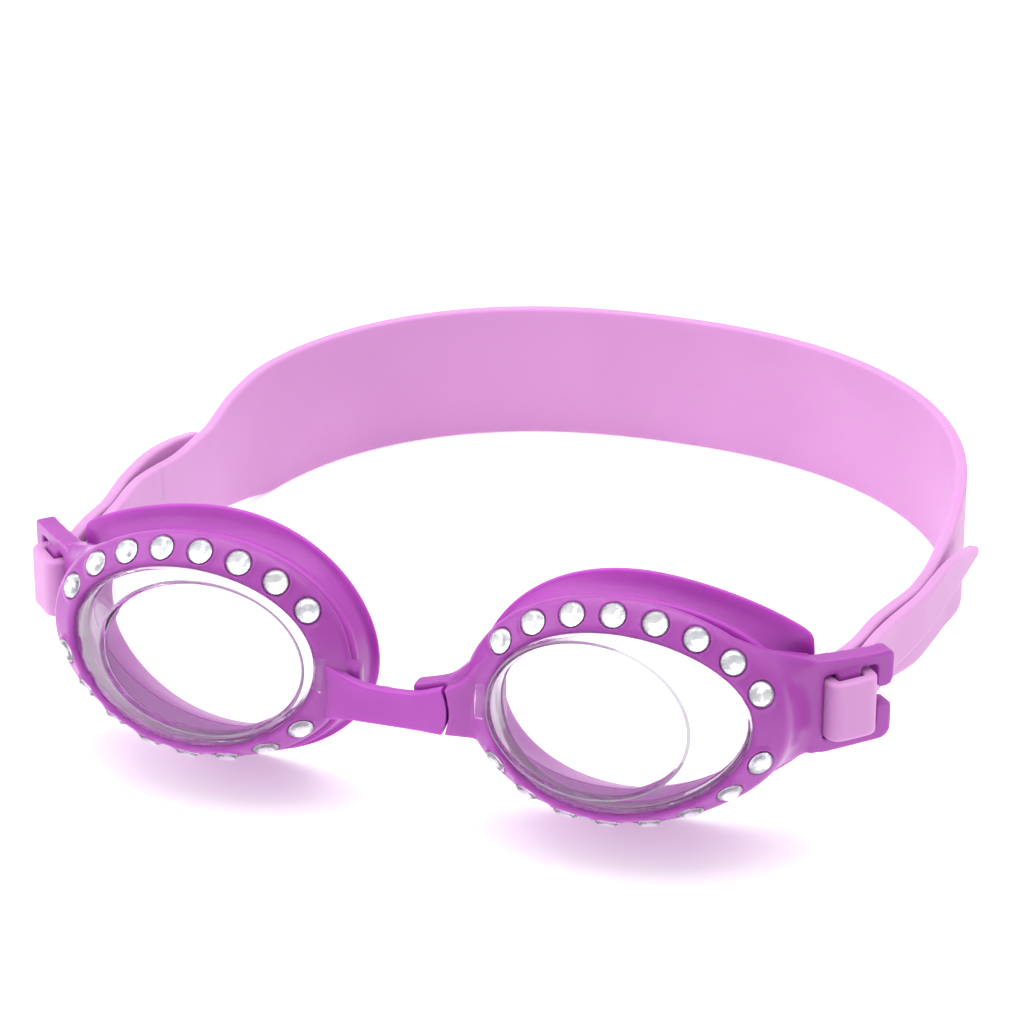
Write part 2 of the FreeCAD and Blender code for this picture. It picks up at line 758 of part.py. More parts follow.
def offset_points(points, distance):
    """Points beside a line of points, at a distance square to it."""
    moved = []
    for i, point in enumerate(points):
        before = points[max(i - 1, 0)]
        after = points[min(i + 1, len(points) - 1)]
        along = after - before
        along.normalize()
        moved.append(point + Vector(along.y, -along.x, 0) * distance)
    return moved


def smooth_line(points):
    """More points along a line through these points, smooth, and nowhere beyond them."""
    slopes = [(b[1] - a[1]) / (b[0] - a[0]) for a, b in zip(points[:-1], points[1:])]
    tangents = [slopes[0]]
    for before, after in zip(slopes[:-1], slopes[1:]):
        same_way = before * after > 0
        tangents.append(2 * before * after / (before + after) if same_way else 0.0)
    tangents.append(slopes[-1])
    line = []
    for i in range(len(points) - 1):
        (start, low), (end, high) = points[i], points[i + 1]
        length = end - start
        steps = max(2, int(length / 2.5))
        for step in range(steps):
            t = step / steps
            value = low * (1 + 2 * t) * (1 - t) ** 2 + high * t * t * (3 - 2 * t)
            value += length * (tangents[i] * t * (1 - t) ** 2 - tangents[i + 1] * t * t * (1 - t))
            line.append((start + length * t, value))
    line.append(points[-1])
    return line


def band_solid(centre_line, upper, lower):
    """A strap: its plan swept up through its whole height, then cut to its two edges."""
    half = size("strap_thickness") / 2
    outer = offset_points(centre_line, half)
    inner = offset_points(centre_line, -half)
    edges = [spline(outer).toShape(), Part.makeLine(outer[-1], inner[-1]),
             spline(inner).toShape(), Part.makeLine(inner[0], outer[0])]
    plan = Part.Face(Part.Wire(Part.__sortEdges__(edges)))
    tall = plan.extrude(Vector(0, 0, 60))
    tall.translate(Vector(0, 0, -10))
    wide = 200.0
    top = [Vector(-wide / 2, y, z) for y, z in smooth_line(upper[:-1]) + upper[-1:]]
    bottom = [Vector(-wide / 2, y, z) for y, z in smooth_line(lower[:-1]) + lower[-1:]]
    side = [Part.makeLine(top[-1], bottom[-1]), Part.makeLine(bottom[0], top[0])]
    for edge in (top, bottom):
        side += [spline(edge[:-1]).toShape(), Part.makeLine(edge[-2], edge[-1])]
    profile = Part.Face(Part.Wire(Part.__sortEdges__(side))).extrude(Vector(wide, 0, 0))
    return tall.common(profile).Solids[0]


def plan_line(plan):
    return [Vector(x, y - size("cup_front_offset"), 0) for y, x in plan]


def edge_line(edge):
    """A strap edge's points as (Y, Z) in the goggles' frame, kept on or above the floor."""
    height = size("cup_height")
    return [(y - size("cup_front_offset"), max(z + height, 0.0)) for y, z in edge]


def loop_line():
    """The back of the strap: half a superellipse round the back of the head."""
    steps = 40
    power = 2 / size("loop_power")
    points = []
    for i in range(steps + 1):
        angle = math.pi * i / steps
        across = abs(math.cos(angle)) ** power * math.copysign(1, math.cos(angle))
        back = abs(math.sin(angle)) ** power
        y = size("loop_start") + size("loop_depth") * back - size("cup_front_offset")
        points.append(Vector(size("loop_half_width") * across, y, 0))
    return points


def make_wrap():
    """The strap's end folded round the lug's bar, open at the rear."""
    height = "Sizes.strap_end_width"
    outer = box(
        "WrapOuter", Length="Sizes.wrap_end - Sizes.wrap_start",
        Width="Sizes.wrap_front - Sizes.wrap_rear", Height=height,
        Placement__Base__x="Sizes.wrap_start", Placement__Base__y="-Sizes.wrap_front",
        Placement__Base__z="Sizes.strap_end_bottom")
    inner = box(
        "WrapInner", Length="Sizes.wrap_end - Sizes.wrap_start - 2 * Sizes.strap_thickness",
        Width="Sizes.wrap_front - Sizes.wrap_rear", Height="Sizes.strap_end_width + 2",
        Placement__Base__x="Sizes.wrap_start + Sizes.strap_thickness",
        Placement__Base__y="-Sizes.lug_face + Sizes.bar_setback - Sizes.wrap_clearance",
        Placement__Base__z="Sizes.strap_end_bottom - 1")
    wrap = cut("RightWrap", outer, inner)
    wrap.Placement = FreeCAD.Placement(
        Vector(0, -size("cup_front_offset"), size("cup_height")),
        FreeCAD.Rotation(Vector(0, 0, 1), size("lug_angle")))
    subpart(wrap, "right_strap_wrap")
    subpart(mirror("LeftWrap", wrap), "left_strap_wrap")


def make_strap():
    make_wrap()
    arm = shape_piece("RightArm", band_solid(
        plan_line(ARM_PLAN), edge_line(ARM_TOP), edge_line(ARM_BOTTOM)))
    subpart(arm, "right_strap_arm")
    subpart(mirror("LeftArm", arm), "left_strap_arm")
    tail = shape_piece("RightTail", band_solid(
        plan_line(TAIL_PLAN), edge_line(TAIL_TOP), edge_line(TAIL_BOTTOM)))
    subpart(tail, "right_strap_tail")
    subpart(mirror("LeftTail", tail), "left_strap_tail")
    back = shape_piece("StrapBack", band_solid(
        loop_line(), edge_line(ARM_TOP), edge_line(ARM_BOTTOM)))
    subpart(back, "strap_back")


make_frames()
make_stones()
make_lenses()
make_gaskets()
make_bridge()
make_strap()
document.recompute()

# Every object and every piece is checked before anything is written.
for item in document.Objects:
    if "Invalid" in item.State or "Error" in item.State:
        raise RuntimeError("%s did not compute: %s" % (item.Label, item.State))
whole = FreeCAD.BoundBox()
for item in SUBPARTS:
    if item.Shape.isNull() or not item.Shape.isValid():
        raise RuntimeError("%s has a broken shape" % item.Label)
    whole.add(item.Shape.BoundBox)
os.makedirs("parts", exist_ok=True)
for item in SUBPARTS:
    item.Shape.exportStep("parts/%s.step" % item.Label)
    print("%-18s %9.1f mm3, %d solid(s)" % (item.Label, item.Shape.Volume, len(item.Shape.Solids)))
print("box", [round(v, 2) for v in (whole.XMin, whole.XMax, whole.YMin, whole.YMax,
                                    whole.ZMin, whole.ZMax)])
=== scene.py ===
import math

import bmesh
import bpy
import numpy as np
from mathutils import Matrix, Vector


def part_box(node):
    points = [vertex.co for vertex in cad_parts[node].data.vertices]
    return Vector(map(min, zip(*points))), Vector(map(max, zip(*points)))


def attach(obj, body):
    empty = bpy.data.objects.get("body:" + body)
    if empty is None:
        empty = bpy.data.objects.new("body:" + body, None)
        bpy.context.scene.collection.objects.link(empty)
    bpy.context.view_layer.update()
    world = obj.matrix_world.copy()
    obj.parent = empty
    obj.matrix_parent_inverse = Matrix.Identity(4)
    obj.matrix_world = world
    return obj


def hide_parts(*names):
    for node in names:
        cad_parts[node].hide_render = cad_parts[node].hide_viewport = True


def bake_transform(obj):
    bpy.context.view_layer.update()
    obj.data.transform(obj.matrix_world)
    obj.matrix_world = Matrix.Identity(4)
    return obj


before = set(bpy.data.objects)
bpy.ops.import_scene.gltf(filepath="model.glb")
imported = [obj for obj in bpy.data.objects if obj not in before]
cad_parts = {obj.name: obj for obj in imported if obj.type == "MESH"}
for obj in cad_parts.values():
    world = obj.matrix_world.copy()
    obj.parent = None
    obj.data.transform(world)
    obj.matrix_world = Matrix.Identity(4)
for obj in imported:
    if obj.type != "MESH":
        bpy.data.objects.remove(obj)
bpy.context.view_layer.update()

# Lengths below are millimetres. MM turns them into the frame's metres.
MM = 0.001
SIDES = {"right": 1, "left": -1}

# ------------------------------------------------------------
# Places from the frame
# ------------------------------------------------------------


def node_box(node):
    """Lowest and highest corner of a CAD node, in millimetres."""
    low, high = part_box(node)
    return np.array(low) / MM, np.array(high) / MM


STRAP_END_BOTTOM, STRAP_END_TOP = (corner[2] for corner in node_box("right_strap_wrap"))
# The cups' middle stands a little ahead of the bridge band's front, and above the strap's end.
BAND_SET_BACK, STRAP_END_DROP = 0.9, 6.6
CUP_SIDE = 33.0
CUP_Y = node_box("nose_bridge")[0][1] - BAND_SET_BACK
CUP_Z = STRAP_END_BOTTOM + STRAP_END_DROP

# ------------------------------------------------------------
# The eye cup's own frame: u towards the temple, v up, w outwards
# ------------------------------------------------------------

TURN, PITCH, ROLL = (math.radians(a) for a in (3.3, 9.6, 1.1))


def cup_axes():
    """The directions u, v and w as rows."""
    across = np.array([math.cos(TURN), math.sin(TURN), 0])
    ahead = np.array([math.sin(TURN), -math.cos(TURN), 0])
    up = np.array([0, 0, 1.0])
    w = ahead * math.cos(PITCH) + up * math.sin(PITCH)
    v = up * math.cos(PITCH) - ahead * math.sin(PITCH)
    cos, sin = math.cos(ROLL), math.sin(ROLL)
    return np.stack([across * cos + v * sin, v * cos - across * sin, w])


CUP_AXES = cup_axes()
CUP_CENTRE = np.array([CUP_SIDE, CUP_Y, CUP_Z])
W_AXIS = np.array([0, 0, 1.0])


def from_cup(points):
    """From the cup's frame to the scene's, on the +X side."""
    return points @ CUP_AXES + CUP_CENTRE


THETA = np.linspace(0, 2 * math.pi, 320, endpoint=False)
# A small step round the rim or along a surface, for finding directions.
STEP = 0.01
ROW_WIDE, ROW_HIGH, ROW_EGG, ROW_BOW = 22.0, 15.5, -0.054, 0.0058
HALF_FACE = 2.4
INNER_ROLL = 0.8
# The face leans more towards the bottom of the rim.
FACE_LEAN, LOWER_LEAN = 37.0, 31.0


def row(theta):
    """The curve that the stones sit on."""
    u = ROW_WIDE * np.cos(theta)
    v = ROW_HIGH * np.sin(theta) * (1 + ROW_EGG * np.cos(theta))
    return np.stack([u, v, -ROW_BOW * u * u], -1)


def outwards(theta):
    """Square to the stone row in the cup's plane, away from the eye."""
    along = row(theta + STEP) - row(theta - STEP)
    out = np.stack([along[..., 1], -along[..., 0], np.zeros_like(along[..., 0])], -1)
    return out / np.linalg.norm(out, axis=-1, keepdims=True)


def slope(theta):
    """The lean of the rim's face, in radians."""
    below = np.maximum(0, -np.sin(theta))
    return np.radians(FACE_LEAN + LOWER_LEAN * below ** 1.5)[..., None]


def face(theta, along):
    """A point of the rim's sloping face."""
    lean = slope(theta)
    return row(theta) + (outwards(theta) * np.cos(lean) - W_AXIS * np.sin(lean)) * along


def face_normal(theta):
    """Square to the rim's face, outwards."""
    lean = slope(theta)
    return outwards(theta) * np.sin(lean) + W_AXIS * np.cos(lean)


def opening(theta, inset=0.0, depth=0.0):
    """A ring of points at the mouth of the rim, or inside and behind it."""
    crest = face(theta, -HALF_FACE)
    return crest - outwards(theta) * (INNER_ROLL + inset) - W_AXIS * (INNER_ROLL * 0.75 + depth)


# The joint between rim and gasket: its level, its fall towards the temple and its rise at the top.
JOINT_LEVEL, JOINT_FALL, JOINT_RISE = -7.6, 2.0, 0.6


def rear(theta, outset, behind=0.0):
    """A ring of points on or behind the joint between rim and gasket."""
    flat = row(theta) + outwards(theta) * outset
    level = JOINT_LEVEL - JOINT_FALL * np.cos(theta) + JOINT_RISE * np.sin(theta)
    flat[..., 2] = level - behind
    return flat


def face_bowl(theta, level, rise):
    """Depth of the gasket's back, hollowed to sit on the wearer's face."""
    return level + rise * np.sin(theta) - 1.9 * np.cos(theta) - 0.7 * np.cos(2 * theta)


# The flange's outline: its middle, its reach towards temple and nose, how far it tucks in under
# the temple side, its height, what it loses there above and below, and its rise at the brow.
FLANGE_U, FLANGE_V = 2.0, -1.2
FLANGE_TEMPLE, FLANGE_NOSE, FLANGE_TUCK = 30.5, 26.6, 10.0
FLANGE_HIGH, FLANGE_LOSS_ABOVE, FLANGE_LOSS_BELOW, FLANGE_BROW = 20.1, 3.2, 4.8, 2.2
FLANGE_LEVEL, FLANGE_RISE = -15.8, 3.3
TEMPLE_CUT = 25.2
CORNER_PASSES = 14


def flange(theta, inset=0.0, behind=0.0):
    """The gasket's edge: straighter towards the temple, tucked in below, and cut at the side."""
    across, up = np.cos(theta), np.sin(theta)
    temple, nose = np.maximum(0, across), np.maximum(0, -across)
    above, below = np.maximum(0, up), np.maximum(0, -up)
    width = np.where(across > 0, FLANGE_TEMPLE, FLANGE_NOSE)
    width = width - FLANGE_TUCK * np.sqrt(below) * (across > 0)
    loss = np.where(up > 0, FLANGE_LOSS_ABOVE, FLANGE_LOSS_BELOW) * temple * np.abs(up)
    height = FLANGE_HIGH - loss + FLANGE_BROW * nose * above
    u = FLANGE_U + (width - inset) * across
    v = FLANGE_V + (height - inset) * up
    w = face_bowl(theta, FLANGE_LEVEL, FLANGE_RISE) - behind
    edge = np.stack([np.minimum(u, TEMPLE_CUT - inset), v, w], -1)
    # The corners beside the cut are rounded.
    for _ in range(CORNER_PASSES):
        edge = edge * 0.5 + (np.roll(edge, 1, 0) + np.roll(edge, -1, 0)) * 0.25
    return edge


def eye_hole(theta, behind):
    """The gasket's inner edge, a plain oval."""
    u = 0.4 + 20.4 * np.cos(theta)
    v = -0.9 + 15.6 * np.sin(theta)
    return np.stack([u, v, face_bowl(theta, -15.2, 2.9) - behind], -1)


WINDOW_U, WINDOW_V = -3.7, 0.4
WINDOW_WIDE, WINDOW_HIGH = 15.5, 12.0
# The window's height above the stone row, and its slopes towards the temple and upwards.
WINDOW_LEVEL, WINDOW_TEMPLE_SLOPE, WINDOW_UP_SLOPE = 3.4, 0.136, 0.047


def window_level(across, up):
    """Height of the lens's flat front at a place measured from the window's middle."""
    return WINDOW_LEVEL + WINDOW_TEMPLE_SLOPE * across + WINDOW_UP_SLOPE * up


def window(theta, scale=1.0, inset=0.0, depth=0.0):
    """A ring of points on the lens's flat front."""
    across = (WINDOW_WIDE - inset) * scale * np.cos(theta)
    up = (WINDOW_HIGH - inset) * scale * np.sin(theta)
    return np.stack([WINDOW_U + across, WINDOW_V + up, window_level(across, up) - depth], -1)


# ------------------------------------------------------------
# Mesh helpers
# ------------------------------------------------------------


def put(name, data):
    """An object in the scene for a mesh, a light or a camera."""
    obj = bpy.data.objects.new(name, data)
    bpy.context.scene.collection.objects.link(obj)
    return obj


def put_built(name, work):
    """An object from a finished bmesh, which is used up."""
    mesh = bpy.data.meshes.new(name)
    work.to_mesh(mesh)
    work.free()
    mesh.shade_smooth()
    return put(name, mesh)


def new_object(name, points, faces):
    """A smooth-shaded object from points in millimetres."""
    mesh = bpy.data.meshes.new(name)
    mesh.from_pydata([tuple(p) for p in np.asarray(points) * MM], [], faces)
    mesh.update()
    mesh.shade_smooth()
    return put(name, mesh)


def tidy(obj, flat_caps=False):
    """Merge doubled points, turn all faces outwards, and keep end caps flat if asked."""
    work = bmesh.new()
    work.from_mesh(obj.data)
    bmesh.ops.remove_doubles(work, verts=work.verts, dist=1e-7)
    bmesh.ops.dissolve_degenerate(work, edges=work.edges, dist=1e-7)
    bmesh.ops.recalc_face_normals(work, faces=work.faces)
    for cap in [face for face in work.faces if flat_caps and len(face.verts) > 4]:
        cap.smooth = False
        for edge in cap.edges:
            edge.smooth = False
    work.to_mesh(obj.data)
    work.free()
    return obj


def rounded(corners, radii, steps=5, closed=True):
    """A section through corner points, each given as an (n, 3) array, with its corners rounded.

    Extra points beside each arc keep the flats flat under smooth shading."""
    most, beside, furthest = 0.45, 0.12, 0.48
    points = []
    count = len(corners)
    for i, (corner, radius) in enumerate(zip(corners, radii)):
        if not closed and i in (0, count - 1):
            points.append(corner)
            continue
        before, after = corners[i - 1] - corner, corners[(i + 1) % count] - corner
        long_before = np.linalg.norm(before, axis=-1, keepdims=True)
        long_after = np.linalg.norm(after, axis=-1, keepdims=True)
        back = np.minimum(radius, long_before * most)
        ahead = np.minimum(radius, long_after * most)
        start = corner + before / long_before * back
        end = corner + after / long_after * ahead
        lead = np.minimum(back + beside, long_before * furthest)
        points.append(corner + before / long_before * lead)
        for step in range(steps + 1):
            t = step / steps
            points.append(start * (1 - t) ** 2 + corner * 2 * t * (1 - t) + end * t * t)
        tail = np.minimum(ahead + beside, long_after * furthest)
        points.append(corner + after / long_after * tail)
    return np.stack(points, 1)


def loops_object(name, grid, around=True, section=True, caps=False):
    """A surface over a grid of points: closed round its length and round its section if asked."""
    n, m = grid.shape[:2]
    faces = []
    for i in range(n if around else n - 1):
        for j in range(m if section else m - 1):
            a, b = (i + 1) % n, (j + 1) % m
            faces.append((i * m + j, a * m + j, a * m + b, i * m + b))
    if caps:
        faces.append(tuple(range(m - 1, -1, -1)))
        faces.append(tuple((n - 1) * m + j for j in range(m)))
    return tidy(new_object(name, grid.reshape(-1, 3), faces), flat_caps=True)


def rounded_box(name, low, high, radius):
    """A block with rounded edges."""
    work = bmesh.new()
    bmesh.ops.create_cube(work, size=1.0)
    low, high = np.array(low, float), np.array(high, float)
    for vertex in work.verts:
        vertex.co = Vector((np.array(vertex.co) + 0.5) * (high - low) + low) * MM
    bmesh.ops.bevel(work, geom=work.edges[:], offset=radius * MM, segments=3, profile=0.5,
                    affect="EDGES")
    return put_built(name, work)


def lathe(name, profile, centre, axis):
    """A closed turned shape: profile is a list of (radius, height), its axis through centre."""
    sides = 32
    axis = Vector(axis).normalized()
    turn = axis.to_track_quat("Z", "Y").to_matrix()
    points, faces = [], []
    for radius, height in profile:
        for k in range(sides):
            angle = 2 * math.pi * k / sides
            local = Vector((radius * math.cos(angle), radius * math.sin(angle), height))
            points.append(np.array(turn @ local) + centre)
    rings = len(profile)
    for i in range(rings - 1):
        for k in range(sides):
            low, after = i * sides, (k + 1) % sides
            faces.append((low + k, low + after, low + sides + after, low + sides + k))
    faces.append(tuple(range(sides - 1, -1, -1)))
    faces.append(tuple((rings - 1) * sides + k for k in range(sides)))
    return tidy(new_object(name, points, faces))


def join(name, objects):
    """One object from several, with its mesh in the frame's own coordinates."""
    work = bmesh.new()
    for obj in objects:
        work.from_mesh(obj.data)
    for obj in objects:
        bpy.data.objects.remove(obj)
    return put_built(name, work)


SKIN_VOXEL, SKIN_PASSES = 0.25, 10


def moulded(obj):
    """Melt crossing shapes into one skin with small fillets, as an injection moulding has."""
    obj.data.transform(Matrix.Scale(1 / MM, 4))
    remesh = obj.modifiers.new("skin", "REMESH")
    remesh.mode = "VOXEL"
    remesh.voxel_size = SKIN_VOXEL
    remesh.use_smooth_shade = True
    smooth = obj.modifiers.new("fillet", "SMOOTH")
    smooth.factor = 0.5
    smooth.iterations = SKIN_PASSES
    depsgraph = bpy.context.evaluated_depsgraph_get()
    mesh = bpy.data.meshes.new_from_object(obj.evaluated_get(depsgraph))
    obj.modifiers.clear()
    obj.data = mesh
    mesh.transform(Matrix.Scale(MM, 4))
    mesh.shade_smooth()
    return obj


def to_other_side(mesh):
    """Turn a mesh into its mirror image on the other side of the nose."""
    mesh.transform(Matrix.Scale(-1, 4, Vector((1, 0, 0))))
    mesh.flip_normals()


def mirrored(obj, name):
    """A mirrored copy on the other side of the nose."""
    mesh = obj.data.copy()
    to_other_side(mesh)
    return put(name, mesh)


def both_sides(piece, name):
    """The piece and its mirror image, each with its side."""
    piece.name = "right_" + name
    return ("right", piece), ("left", mirrored(piece, "left_" + name))


# ------------------------------------------------------------
# Materials
# ------------------------------------------------------------


def material(name, colour, roughness, **sockets):
    """A principled material. Each keyword is a socket's name with underscores for spaces."""
    made = bpy.data.materials.new(name)
    made.use_nodes = True
    shader = made.node_tree.nodes["Principled BSDF"]
    shader.inputs["Base Color"].default_value = (*colour, 1)
    shader.inputs["Roughness"].default_value = roughness
    for key, value in sockets.items():
        shader.inputs[key.replace("_", " ")].default_value = value
    return made


def noise_node(tree, scale, detail):
    """Noise that goes with the object."""
    place = tree.nodes.new("ShaderNodeTexCoord")
    noise = tree.nodes.new("ShaderNodeTexNoise")
    noise.inputs["Scale"].default_value = scale
    noise.inputs["Detail"].default_value = detail
    tree.links.new(place.outputs["Object"], noise.inputs["Vector"])
    return noise


def varied(made, colour, other, scale):
    """Let the base colour drift between two close colours."""
    tree = made.node_tree
    noise = noise_node(tree, scale, 3.0)
    ramp = tree.nodes.new("ShaderNodeValToRGB")
    low, high = ramp.color_ramp.elements
    low.position, low.color = 0.4, (*colour, 1)
    high.position, high.color = 0.6, (*other, 1)
    tree.links.new(noise.outputs["Fac"], ramp.inputs["Fac"])
    tree.links.new(ramp.outputs["Color"], tree.nodes["Principled BSDF"].inputs["Base Color"])


def grain(made, scale, strength):
    """A fine bump."""
    tree = made.node_tree
    noise = noise_node(tree, scale, 4.0)
    bump = tree.nodes.new("ShaderNodeBump")
    bump.inputs["Strength"].default_value = strength
    bump.inputs["Distance"].default_value = 0.00002
    tree.links.new(noise.outputs["Fac"], bump.inputs["Height"])
    tree.links.new(bump.outputs["Normal"], tree.nodes["Principled BSDF"].inputs["Normal"])


def soft_plastic(name, colour, other, drift, roughness, ior, weight, radius, depth, bump):
    """A plastic that light goes into and comes out of tinted, beside or behind."""
    made = material(name, colour, roughness, IOR=ior)
    varied(made, colour, other, drift)
    shader = made.node_tree.nodes["Principled BSDF"]
    shader.inputs["Subsurface Weight"].default_value = weight
    shader.inputs["Subsurface Radius"].default_value = radius
    shader.inputs["Subsurface Scale"].default_value = depth
    grain(made, *bump)
    return made


RIM = soft_plastic(
    "rim plastic", (0.37, 0.055, 0.39), (0.40, 0.068, 0.42), drift=60.0, roughness=0.3, ior=1.5,
    weight=0.6, radius=(1.0, 0.55, 1.0), depth=0.0022, bump=(900.0, 0.08))
GASKET = soft_plastic(
    "gasket silicone", (0.40, 0.052, 0.42), (0.43, 0.062, 0.45), drift=45.0, roughness=0.38,
    ior=1.43, weight=0.7, radius=(1.0, 0.35, 1.0), depth=0.003, bump=(700.0, 0.08))
BRIDGE = soft_plastic(
    "bridge silicone", (0.42, 0.062, 0.45), (0.45, 0.075, 0.48), drift=60.0, roughness=0.36,
    ior=1.43, weight=0.6, radius=(1.0, 0.5, 1.0), depth=0.0022, bump=(800.0, 0.08))
STRAP = soft_plastic(
    "strap silicone", (0.61, 0.29, 0.585), (0.63, 0.305, 0.605), drift=40.0, roughness=0.5,
    ior=1.43, weight=0.6, radius=(1.0, 0.7, 1.0), depth=0.002, bump=(1400.0, 0.12))
LENS = material("lens clear", (0.985, 0.98, 0.99), 0.015, IOR=1.12, Transmission_Weight=1.0,
                Coat_Weight=0.7, Coat_Roughness=0.02)
grain(LENS, 120.0, 0.01)
# A painted grey line round the window's edge, standing in for the thin line that light makes there.
LENS_PAINTED_LINE = material("lens painted line", (0.33, 0.30, 0.36), 0.3, Alpha=0.7)
varied(LENS_PAINTED_LINE, (0.30, 0.27, 0.33), (0.38, 0.34, 0.42), 90.0)
STONE = material("stone crystal", (0.97, 0.97, 0.99), 0.0, IOR=1.6, Transmission_Weight=1.0)
varied(STONE, (0.95, 0.96, 0.99), (0.99, 0.98, 1.0), 300.0)
FOIL = material("stone foil", (0.95, 0.96, 0.98), 0.22, Metallic=1.0)
varied(FOIL, (0.90, 0.92, 0.95), (0.98, 0.98, 0.99), 500.0)


def dress(obj, *materials):
    """Give an object these materials and no others."""
    obj.data.materials.clear()
    for made in materials:
        obj.data.materials.append(made)


# ------------------------------------------------------------
# Eye rim
# ------------------------------------------------------------

WALL_LONG, WALL_OUT = 1.8, 0.1
# The neck behind the wall, which the gasket closes round: its outer and inner faces.
NECK_OUT, NECK_IN = -0.4, -2.2
# The lip in the bore that the lens rests on: its front, its back and how far it reaches inwards.
LIP_FRONT, LIP_BACK, LIP_REACH = 3.6, 4.6, 1.0


def rim_ring():
    """The rim all round: face, wall, neck and bore."""
    wall = face(THETA, HALF_FACE) + outwards(THETA) * WALL_OUT - W_AXIS * WALL_LONG
    neck = rear(THETA, NECK_OUT)
    neck_front = neck.copy()
    neck_front[:, 2] = np.maximum(wall[:, 2] - 1.4, neck[:, 2] + 0.6)
    corners = [
        opening(THETA), face(THETA, -HALF_FACE), face(THETA, HALF_FACE), wall, neck_front, neck,
        rear(THETA, NECK_IN), opening(THETA, 0, LIP_BACK), opening(THETA, LIP_REACH, LIP_BACK),
        opening(THETA, LIP_REACH, LIP_FRONT), opening(THETA, 0, LIP_FRONT),
    ]
    radii = [0.3, 1.0, 1.3, 0.6, 0.5, 0.2, 0.3, 0.5, 0.2, 0.2, 0.2]
    return loops_object("ring", from_cup(rounded(corners, radii)))


def blended(keys, steps):
    """Sections between key sections, on a smooth curve through them."""
    keys = [np.array(k, float) for k in keys]
    keys = [keys[0] * 2 - keys[1]] + keys + [keys[-1] * 2 - keys[-2]]
    out = []
    for a, b, c, d in zip(keys[:-3], keys[1:-2], keys[2:-1], keys[3:]):
        for step in range(steps):
            t = step / steps
            out.append(0.5 * (2 * b + (c - a) * t + (2 * a - 5 * b + 4 * c - d) * t * t
                              + (3 * b - a - 3 * c + d) * t ** 3))
    out.append(keys[-2])
    return np.array(out)


# The lug's own frame lies at 45 degrees. Its front face, its back, its tip and its edge radius.
LUG_FACE, LUG_BACK, LUG_END, LUG_ROUND = 30.9, 27.9, 64.6, 0.8
DIAGONAL = math.sqrt(0.5)


def lug_xy(along, ahead):
    """From the lug's own frame to plan: along the lug, and ahead of its own axis."""
    return np.array([(along + ahead) * DIAGONAL, (along - ahead) * DIAGONAL + CUP_Y])


# The flare from rim to lug: the stretch of rim it leaves from, in degrees, the place on the rim's
# face, and where it meets the lug.
ROOT_LOW, ROOT_HIGH = -62.0, 66.0
ROOT_START, ROOT_END = 1.9, 51.6
ROOT_BOTTOM, ROOT_TOP = -8.9, 6.5
# How strongly its curves set out from the rim, in the middle and at the edges, and arrive.
MIDDLE_PULL, EDGE_PULL, END_PULL = 7.0, 15.0, 9.0
ROOT_THICK, ROOT_ROLL = 2.9, 0.7


def root_skin(across, along):
    """The flare's outer skin: across from the rim's lower side to its upper, along to the lug."""
    theta = np.radians(ROOT_LOW + (ROOT_HIGH - ROOT_LOW) * across)
    edge = (2 * across - 1)[..., None]
    edge_share = np.abs(edge) ** 1.5
    middle_share = 1 - edge_share
    round_rim = row(theta - STEP) - row(theta + STEP)
    round_rim /= np.linalg.norm(round_rim, axis=-1, keepdims=True)
    middle_way = outwards(theta) * 0.8 - W_AXIS * 0.6
    edge_way = outwards(theta) * 0.25 - W_AXIS * 0.55 + round_rim * np.sign(edge)
    leave = middle_way * middle_share + edge_way * edge_share
    leave /= np.linalg.norm(leave, axis=-1, keepdims=True)
    leave = leave @ CUP_AXES * (MIDDLE_PULL * middle_share + EDGE_PULL * edge_share)
    start = from_cup(face(theta, ROOT_START))
    place = lug_xy(ROOT_END, LUG_FACE)
    end = np.stack([np.full_like(across, place[0]), np.full_like(across, place[1]),
                    CUP_Z + ROOT_BOTTOM + (ROOT_TOP - ROOT_BOTTOM) * across], -1)
    arrive = np.array([DIAGONAL, DIAGONAL, 0]) * END_PULL
    t = along[..., None]
    return (start * (1 + 2 * t) * (1 - t) ** 2 + end * t * t * (3 - 2 * t)
            + leave * t * (1 - t) ** 2 - arrive * t * t * (1 - t))


def lug_root():
    """The flare between the rim's temple side and the lug, as a wall of even thickness."""
    across, along = np.meshgrid(np.linspace(0, 1, 60), np.linspace(0, 1, 40), indexing="ij")
    over = root_skin(across + STEP, along) - root_skin(across - STEP, along)
    ahead = root_skin(across, along + STEP) - root_skin(across, along - STEP)
    normal = np.cross(ahead, over)
    normal /= np.linalg.norm(normal, axis=-1, keepdims=True)
    front = root_skin(across, along)
    # The wall is full in its middle and rolls over at its upper and lower edges.
    roll = (1 - np.abs(2 * across - 1) ** 8)[..., None]
    front = front - normal * (1 - roll) * ROOT_ROLL
    back = front - normal * (ROOT_THICK - ROOT_ROLL * (1 - roll))
    grid = np.concatenate([front.transpose(1, 0, 2), back[::-1].transpose(1, 0, 2)], axis=1)
    return loops_object("root", grid, around=False, caps=True)


